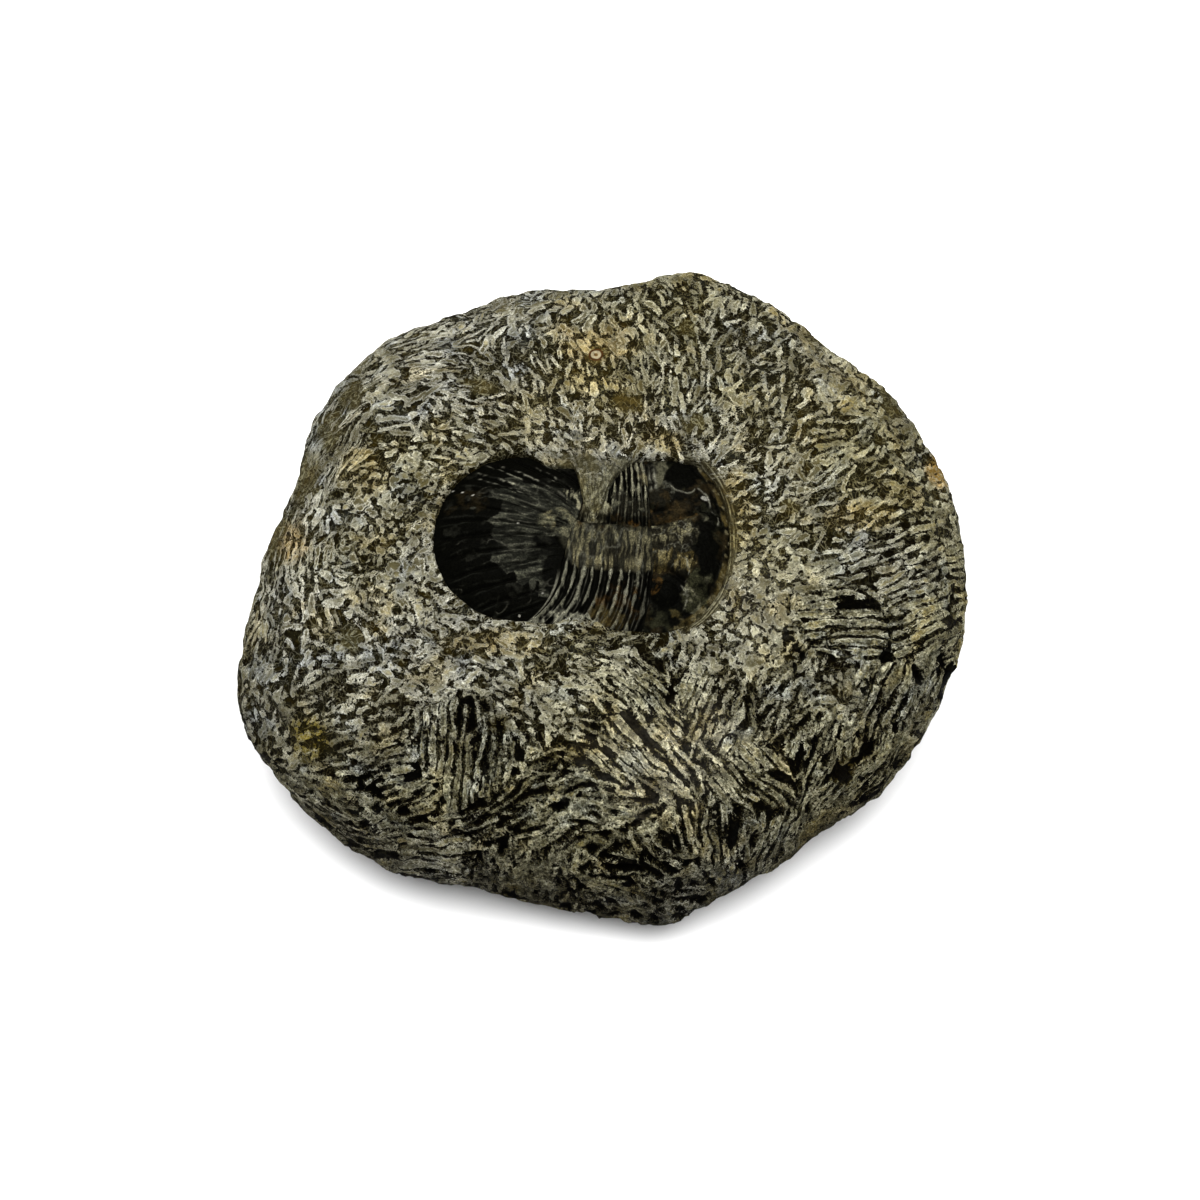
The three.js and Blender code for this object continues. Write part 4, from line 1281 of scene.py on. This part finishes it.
def segment_surface(line, spots, share):
    """Relief, paint and dust of one segment: a ridge on each side rib, and rubble between them."""
    u, v = spots[..., 0], spots[..., 1]
    across = across_lobe(u, v)
    on_pleura = smooth((np.abs(across) - 0.92) / 0.2)
    middle = 1 - on_pleura
    lengthwise = spots * [0.2, 1, 1]
    wander = 0.13 * noise(lengthwise, 2.2, 130 + line)
    width = 0.2 + 0.08 * (line == 2) + 0.08 * noise(lengthwise, 2.6, 150 + line)
    width = width + 0.12 * smooth((v - 7) / 2)
    ridge = peak(share - 0.45 - wander, width)
    hair = peak(share - 0.93 - 0.7 * wander, 0.06) * smooth(0.3 + noise(spots, 3, 190 + line))
    furrow = peak(np.abs(across) - 1.0, 0.2) * (v > 0)
    gutter = peak(across - 1.2, 0.42)

    swirl = flat(u + 0.3 * noise(spots, 1.8, 143), v)
    strands = noise(swirl * [3.4, 0.6, 1], 1.2, 171)
    worn = 0.5 * noise(spots, 1.5, 60 + line)
    fray = noise(spots * [3, 0.8, 1], 1.1, 141)
    blotches = noise(spots, 2.6, 177)
    rubble = noise(spots, 0.9, 169)
    pale = smooth((ridge - 0.5 + worn + 0.35 * fray) / 0.4) * on_pleura
    pale = pale * (1 - 0.65 * smooth((line - 7) / 2) * (v < 0))
    axis = middle * smooth(0.4 + 0.75 * strands + 0.2 * (ridge - 0.5) + 0.4 * worn + 0.35 * blotches)
    near_edge = middle * smooth((-across - 0.45 + 0.8 * worn) * 2) * smooth(0.35 + strands)
    hollow = zone(spots, (6.6, 4.4), (3.9, 2.8), 0.5, 167) * (v > 1.5) * (1 - gutter)
    buried = zone(spots, (1.6, 4.5), (2.3, 2.2), 0.6, 197) * (v > 0) * (1 - 0.8 * gutter)
    cap = zone(spots, (9.6, 11.6), (1.6, 2.4), 0.5, 147) * (v > 0)
    stain = zone(spots, (6.4, -10.6), (3.4, 2.6), 0.8, 137) * smooth(0.35 + noise(spots, 1.4, 173))
    ochre = zone(spots, (5.2, -12.2), (3.4, 1.5), 0.8, 139)
    crumbs = smooth(noise(spots, 1.1, 175) * 2.5) * smooth((-11.6 - v + 0.8 * worn) / 0.8) * (u < 4)

    relief = (0.3 * ridge - 0.45 * (1 - ridge)) * on_pleura + 0.16 * ridge * middle
    relief = relief - 0.45 * furrow + 0.07 * noise(spots, 0.9, 41 + line) + 0.09 * strands * middle
    filled = np.maximum(hollow, buried)
    relief = relief * (1 - 0.75 * filled) + 0.18 * rubble * filled + 0.35 * buried + 0.2 * crumbs
    paint = coated(BLACK, [
        (np.maximum(pale * (0.6 + 0.5 * fray), 0.3 * hair * on_pleura), PALE_DUST),
        (pale * smooth(worn + 0.2) * 0.6, BEIGE),
        (pale * smooth(v / 3) * 0.35, PALE_RUBBLE),
        (middle, DARK_CRUMBS),
        (middle * smooth(0.6 + blotches) * 0.6, DUSTY_BLACK),
        (axis * 0.85, STRAND),
        (near_edge * 0.7, OCHRE_DUST),
        (middle * veins(spots * [1, 0.45, 1], 1.6, 0.09, 145) * 0.3, PALE_DUST),
        (gutter * 0.95, BLACK),
        (gutter * smooth(2.2 * noise(spots, 1.2, 135) - 0.2) * 0.7, BROWN),
        (gutter * smooth(2.2 * noise(spots, 1.4, 135) - 0.7) * 0.8, RUST),
        (hollow * 0.85, DARK_CRUMBS),
        (hollow * smooth(rubble * 2 - 0.3), DUST),
        (hollow * smooth(rubble * 3 - 1.3) * 0.7, BEIGE),
        (buried * 0.9, RUBBLE),
        (buried * smooth(0.35 + 1.5 * rubble + fray), PALE_RUBBLE),
        (cap * smooth(0.6 + noise(spots, 0.9, 149)) * 0.8, OCHRE_DUST),
        (stain * (0.25 + 0.5 * smooth(ridge + worn)), RUST),
        (ochre * smooth(0.4 + worn), OCHRE),
        (crumbs, PALE_DUST),
    ])
    return relief, paint, np.maximum(np.maximum(pale, axis), crumbs)


def build_segments():
    material = shell_material("thorax_shell", 0.5)
    for line in range(SEGMENTS):
        number = SEGMENTS - line
        spots, share = segment_grid(line)
        plate(f"thorax_plate_{number:02d}", f"thorax_segment_{number:02d}", "thorax_shell",
              spots, *segment_surface(line, spots, share), material)


# ---- The two shields ----
def shield_grid(end, line, gap, gather, tuck, counts):
    """Places on a shield, along lines from its joint to its outline, and their shares of its
    width, from -1 to 1, and of the way out, from 0 to 1."""
    across_count, along_count = counts
    across = np.linspace(-1, 1, across_count)
    limits, angles = [], []
    for side in (-1, 1):
        corner = joint_end(line, side)
        limits.append(side * corner)
        angle = math.atan2(corner, joint_line(line, corner) - end["u"])
        angles.append(side * (abs(angle) + tuck))
    # The tail's lines fan out backwards, so their angles pass half a turn.
    if end is TAIL:
        angles[1] -= 2 * math.pi
    v0 = np.where(across < 0, *limits) * np.sign(across) * np.abs(across) ** gather
    u0 = joint_line(line, v0) + gap
    angle = np.interp(across, [-1, 1], angles)
    reach = reach_of(end["u"], 0, angle)
    u1, v1 = end["u"] + reach * np.cos(angle), reach * np.sin(angle)
    share = np.linspace(0, 1, along_count)
    u = u0[:, None] + (u1 - u0)[:, None] * share
    v = v0[:, None] + (v1 - v0)[:, None] * share
    return flat(u, v), across[:, None] * np.ones(along_count), share[None, :] * np.ones((across_count, 1))


# Small white specks painted on the tail as glints, and larger dusty ones with their reaches.
TAIL_GLINTS = [(-20.8, 7.0), (-19.2, 6.3), (-17.4, 5.4), (-9.9, 0.4), (-5.1, -10.0), (-8.4, -13.2)]
TAIL_DUST_SPOTS = [((-6.7, -8.9), (0.5, 0.7)), ((-5.1, -10.2), (0.5, 0.25)), ((-17, 3.0), (0.5, 0.3))]


def bare_tail(spots):
    """Where the tail is worn to bare rock in flakes, and each place's own tone."""
    u, v = spots[..., 0], spots[..., 1]
    flake_u, flake_v, tone = flakes(u * 0.7, v, 1.5, 181)
    flake_u = flake_u / 0.7
    ragged = 1.6 * (tone - 0.5)
    bare = smooth((flake_u + 13.6 + 0.1 * flake_v + ragged) / 0.5 + 0.5)
    bare = bare * smooth((7.8 - flake_v + ragged) / 0.5 + 0.5)
    bare = bare * smooth((flake_v + 8.2 + 0.35 * (flake_u + 9) + ragged) / 0.5 + 0.5)
    return bare, tone


def build_pygidium():
    spots, across, share = shield_grid(TAIL, 0, -JOINT_GAP, TAIL_GATHER, CORNER_TUCK, TAIL_POINTS)
    u, v = spots[..., 0], spots[..., 1]
    phase = (across + 0.012 * noise(spots, 4, 107)) * TAIL_RIBS / 2 + 0.5
    from_groove = np.abs(phase - np.round(phase))
    strength = smooth(share / 0.22) * smooth((1 - share) / 0.1) * smooth((0.95 - np.abs(across)) / 0.08)
    bare, tone = bare_tail(spots)
    flank = np.maximum(zone(spots, (-2.0, -7), (3.2, 5.6), 0.25, 113),
                       zone(spots, (-4.4, -2.4), (2.6, 1.1), 0.3, 114))
    bare = bare * (1 - flank)
    rib_lines = noise(flat(7 * share, 4.5 * phase), 1, 189)
    ribs = 0.16 * (1 - (1 - 2 * from_groove) ** 2) - 0.36 * peak(from_groove, 0.11)
    relief = ribs * strength - 0.16 - 0.07 * bare
    relief = relief + 0.05 * noise(spots, 1.1, 101) + 0.05 * rib_lines * strength

    dust = bare * (0.45 + 0.55 * tone) * smooth(0.75 + 0.8 * rib_lines)
    stray = (tone > 0.88) * smooth(0.2 + noise(spots, 1.2, 183)) * (1 - bare)
    axis = smooth((1.05 - np.abs(across_lobe(u, v))) * 3) * smooth((u + 7.2) / 1.5) * (1 - 0.8 * flank)
    strands = noise(flat(u * 0.7, v * 3), 1.2, 185)
    edges = peak(from_groove - 0.2 - 0.1 * noise(spots, 2.2, 111), 0.05) * strength
    scratches = edges * zone(spots, (-12, 9.6), (6.2, 3.0), 0.9, 117)
    cracks = veins(spots * [0.5, 1, 1], 3.2, 0.03, 195)
    spill = zone(spots, (-1.5, 6.2), (1.5, 2.8), 0.7, 199)
    fibres = noise((spots + 0.25 * noise(spots, 1.5, 202)[..., None]) * [4.5, 0.6, 1], 1.1, 201)
    tip = zone(spots, (-18, 4.6), (3.2, 2.2), 0.6, 121)
    front = smooth((0.035 - share) / 0.015) * smooth((-v - 6) / 3)
    paint = coated(BLACK, [
        (dust, DUSTY_BLACK),
        (0.2 * stray, DUST),
        (dust * smooth(1.4 * strands + 0.8 * rib_lines), DUST),
        (edges * dust * smooth(0.4 + noise(spots, 1.5, 112)), GREY_DUST),
        (0.9 * scratches * smooth(2 * noise(spots, 1.1, 119) - 0.1), PALE_DUST),
        (0.22 * cracks * smooth(noise(spots, 3, 196) * 2), PALE_DUST),
        # Painted glints: faint pale lines along the rib edges.
        (0.5 * edges * smooth(0.2 + 1.5 * noise(spots, 2, 198)), DUSTY_BLACK),
        (spill * smooth(2.2 * fibres - 0.3) * 0.7, PALE_RUBBLE),
        (axis * smooth(0.45 + 0.8 * noise(spots, 1.1, 187)), BEIGE),
        (axis * smooth(2 * noise(spots, 0.8, 188) - 0.5) * 0.5, OCHRE_DUST),
        (0.35 * tip * smooth(noise(spots, 1, 122) + 0.4), BROWN),
        (front * 0.8, PALE_DUST),
        # Painted glints: the small white specks on the tail.
        *[(0.75 * zone(spots, place, (0.2, 0.16), 0.25, 123), WHITE) for place in TAIL_GLINTS],
        *[(zone(spots, place, reach, 0.5, 124) * 0.7, DUST) for place, reach in TAIL_DUST_SPOTS],
    ])
    plate("pygidium_shield", "pygidium", "tail_shell", spots, relief, paint,
          np.maximum(dust, axis), shell_material("tail_shell", 0.32))


# Thin pale ridges on the cheeks: where each starts and ends in u and v, and its bow.
CHEEK_LINES = [
    ((13.0, 9.7), (15.2, 8.5), -0.3), ((15.0, 8.4), (16.9, 9.8), -0.5), ((17.0, 9.9), (19.4, 6.6), 0.5),
    ((15.6, -3.0), (16.4, -6.4), 0.9), ((15.8, -7.0), (16.2, -10.6), 0.8), ((19.6, 6.4), (20.9, 3.2), 0.3),
]
# Ridges across the far cheek's rear: how many segments' lengths in front of the thorax.
REAR_RIDGES = (0.45, 1.25)


def along_line(u, v, start, end, bow):
    """1 on a thin bowed line, 0 away from it."""
    chord = np.subtract(end, start)
    length = np.hypot(*chord)
    share = ((u - start[0]) * chord[0] + (v - start[1]) * chord[1]) / length ** 2
    off = ((v - start[1]) * chord[0] - (u - start[0]) * chord[1]) / length
    off = off - bow * 4 * share * (1 - share)
    return peak(off, 0.12) * smooth(share * 8) * smooth((1 - share) * 8)


def head_coats(spots, crumbs, worn, across, border):
    """The head's coats of colour without its ridges and border, and where it holds dust."""
    u = spots[..., 0]
    strands = noise(spots * [3.4, 0.9, 1], 1.2, 189)
    hairs = veins(spots, 1.5, 0.08, 133)
    glabella = smooth((1.02 - across) * 4) * smooth((17.6 - u + 1.2 * worn) / 1.4)
    ochre = zone(spots, (14.0, -3.7), (3.4, 1.5), 0.6, 141)
    brown = zone(spots, (13.6, 4.6), (3.0, 1.7), 0.7, 143)
    neck = zone(spots, (12.0, 8.6), (2.4, 3.0), 0.6, 193)
    fringe = zone(spots, (11.2, 13.2), (1.3, 3.2), 0.6, 146)
    low = zone(spots, (14.4, -12.0), (3.4, 1.4), 0.5, 150)
    cheek = zone(spots, (18.6, -8.4), (2.3, 3.4), 0.5, 151)
    knob = zone(spots, EYES["far"], (1.8, 1.6), 0.25, 157)
    shine = zone(spots, (18.0, 3.6), (1.1, 1.2), 0.8, 158)
    by_eye = zone(spots, (11.9, -6.8), (0.8, 1.6), 0.8, 149)
    coats = [
        (0.5 * smooth(noise(spots, 2.2, 134) * 1.6), BROWN),
        (0.45 * smooth(1.8 * crumbs + 0.6 * worn - 0.5), GREENISH),
        (0.25 * hairs * smooth(worn + 0.3), DUST),
        (glabella * 0.95, DARK_CRUMBS),
        (glabella * smooth(0.1 + 0.8 * strands + 0.7 * worn + 0.4 * crumbs), STRAND),
        (glabella * hairs * 0.3, PALE_DUST),
        (ochre * smooth(0.5 + strands + 0.5 * crumbs) * 0.9, OCHRE),
        (ochre * smooth(strands + crumbs - 0.1) * 0.7, OCHRE_DUST),
        (brown * smooth(0.7 + worn), BROWN),
        (brown * smooth(1.6 * crumbs - 0.3) * 0.35, RUST),
        (neck * 0.7, DARK_CRUMBS),
        (neck * smooth(crumbs * 2.4 - 0.5), DUST),
        (fringe * smooth(0.5 + worn) * 0.8, BEIGE),
        (zone(spots, (14.8, 12.6), (2.8, 3.4), 0.4, 145), BLACK),
        (zone(spots, (14.7, -8.4), (2.2, 2.6), 0.35, 147), BLACK),
        (by_eye * smooth(0.2 + crumbs) * 0.6, RUST),
        (low * smooth(0.5 + worn), GREENISH),
        (low * smooth(1.8 * crumbs - 0.4) * 0.6, OCHRE),
        (cheek * 0.9, GREENISH),
        (cheek * smooth(crumbs * 2.2 - 0.1) * 0.7, BEIGE),
        (cheek * smooth(worn * 2 - 0.7) * 0.8, PALE_DUST),
        (zone(spots, (19.4, -1.4), (1.8, 5.0), 0.35, 153), BLACK),
        (zone(spots, (17.5, -11.6), (0.8, 1.0), 0.2, 155), BLACK),
        (knob, DARK_CRUMBS),
        (knob * smooth(1.4 * crumbs + 0.2) * 0.7, BROWN),
        (shine * smooth(worn + 0.3) * 0.6, BEIGE),
    ]
    dust = np.maximum(np.maximum(glabella, 0.4 * border), np.maximum(cheek, ochre) * 0.8)
    return coats, dust


def build_cephalon():
    spots, _, share = shield_grid(HEAD, SEGMENTS, JOINT_GAP, 1.0, -CORNER_TUCK, HEAD_POINTS)
    u, v = spots[..., 0], spots[..., 1]
    lumps = noise(spots, 2.0, 127)
    crumbs = noise(spots, 0.8, 191)
    worn = noise(spots, 1.3, 131)
    across = np.abs(across_lobe(u, v))
    eye = EYE_HEIGHT * np.maximum(1 - (eye_distance(u, v) * (1 + 0.16 * lumps)) ** 2, 0) ** 0.7
    furrow = 0.5 * peak(across - 1.02, 0.1) * smooth((1 - share) / 0.2)
    border = smooth((outwardness(u, v) - 0.9 + 0.02 * noise(spots, 2, 125)) / 0.03)
    rim_groove = peak(outwardness(u, v) - 0.885, 0.025) * smooth((u - 15) / 2)
    rugged = 0.24 * lumps + 0.12 * crumbs + 0.05 * noise(spots, 0.45, 129)
    relief = eye - furrow - 0.3 * rim_groove + rugged - 0.1
    coats, dust = head_coats(spots, crumbs, worn, across, border)
    on_far_side = smooth((v - 7.5) / 1.5) * smooth((14.5 - v) / 2)
    for place in REAR_RIDGES:
        from_ridge = u - joint_line(SEGMENTS + place, v) + 0.15 * worn
        ridge = peak(from_ridge, 0.24) * on_far_side
        relief = relief + 0.35 * ridge
        coats += [(peak(from_ridge + 0.42, 0.2) * on_far_side, BLACK),
                  (ridge * smooth(0.75 + worn), PALE_DUST)]
    front_border = border * smooth((u - 14) / 3)
    coats += [(front_border * smooth(0.45 + worn), OCHRE),
              (front_border * smooth(crumbs * 2 - 0.2) * 0.6, OCHRE_DUST)]
    for start, end, bow in CHEEK_LINES:
        line = along_line(u + 0.3 * worn, v + 0.3 * lumps, start, end, bow)
        relief = relief + 0.1 * line
        coats.append((0.8 * line * smooth(0.7 + crumbs), PALE_DUST))
    oval = zone(spots, (18.4, 8.0), (0.75, 0.4), 0.3, 159)
    coats.append((0.6 * oval * smooth(0.8 + crumbs), WHITE))
    paint = coated(np.multiply(BLACK, 1.3), coats)
    plate("cephalon_shield", "cephalon", "head_shell", spots, relief, paint, dust,
          shell_material("head_shell", 0.38))


# ---- Stage ----
# The lights point at this place, in metres.
LIT_PLACE = Vector((0, 0, 0.02))


def build_stage():
    floor_mesh = bpy.data.meshes.new("floor")
    size = 3.0
    corners = [(-size, -size, 0), (size, -size, 0), (size, size, 0), (-size, size, 0)]
    floor_mesh.from_pydata(corners, [], [(0, 1, 2, 3)])
    n = Nodes("pale_floor")
    n.shader.inputs["Base Color"].default_value = (0.9, 0.9, 0.9, 1)
    n.shader.inputs["Roughness"].default_value = 0.9
    floor_mesh.materials.append(n.material)
    add_object("floor", floor_mesh)


def add_light(name, place, size, power):
    data = bpy.data.lights.new(name, "AREA")
    data.shape = "DISK"
    data.size = size
    data.energy = power
    light = add_object(name, data)
    light.location = place
    light.rotation_euler = (LIT_PLACE - Vector(place)).to_track_quat("-Z", "Y").to_euler()


def build_lights():
    add_light("key", (-0.04, 0.1, 0.85), 1.1, 20)
    add_light("fill", (0.3, -0.15, 0.75), 0.6, 2.5)
    world = bpy.data.worlds.new("studio")
    world.use_nodes = True
    background = world.node_tree.nodes["Background"]
    background.inputs["Color"].default_value = (1, 1, 1, 1)
    background.inputs["Strength"].default_value = 0.4
    bpy.context.scene.world = world
    bpy.context.scene.view_settings.view_transform = "Standard"


def build_camera():
    data = bpy.data.cameras.new("camera")
    data.sensor_width = 36
    data.lens = data.sensor_width * VIEW_DISTANCE / FRAME_WIDTH
    data.clip_start = 0.01
    camera = add_object("camera", data)
    camera.location = Vector((VIEW_TARGET + TOWARDS_VIEWER * VIEW_DISTANCE) * MM)
    camera.rotation_euler = (math.pi / 2 - ELEVATION, 0, 0)
    bpy.context.scene.camera = camera


build_stone()
build_pygidium()
build_segments()
build_cephalon()
build_stage()
build_lights()
build_camera()
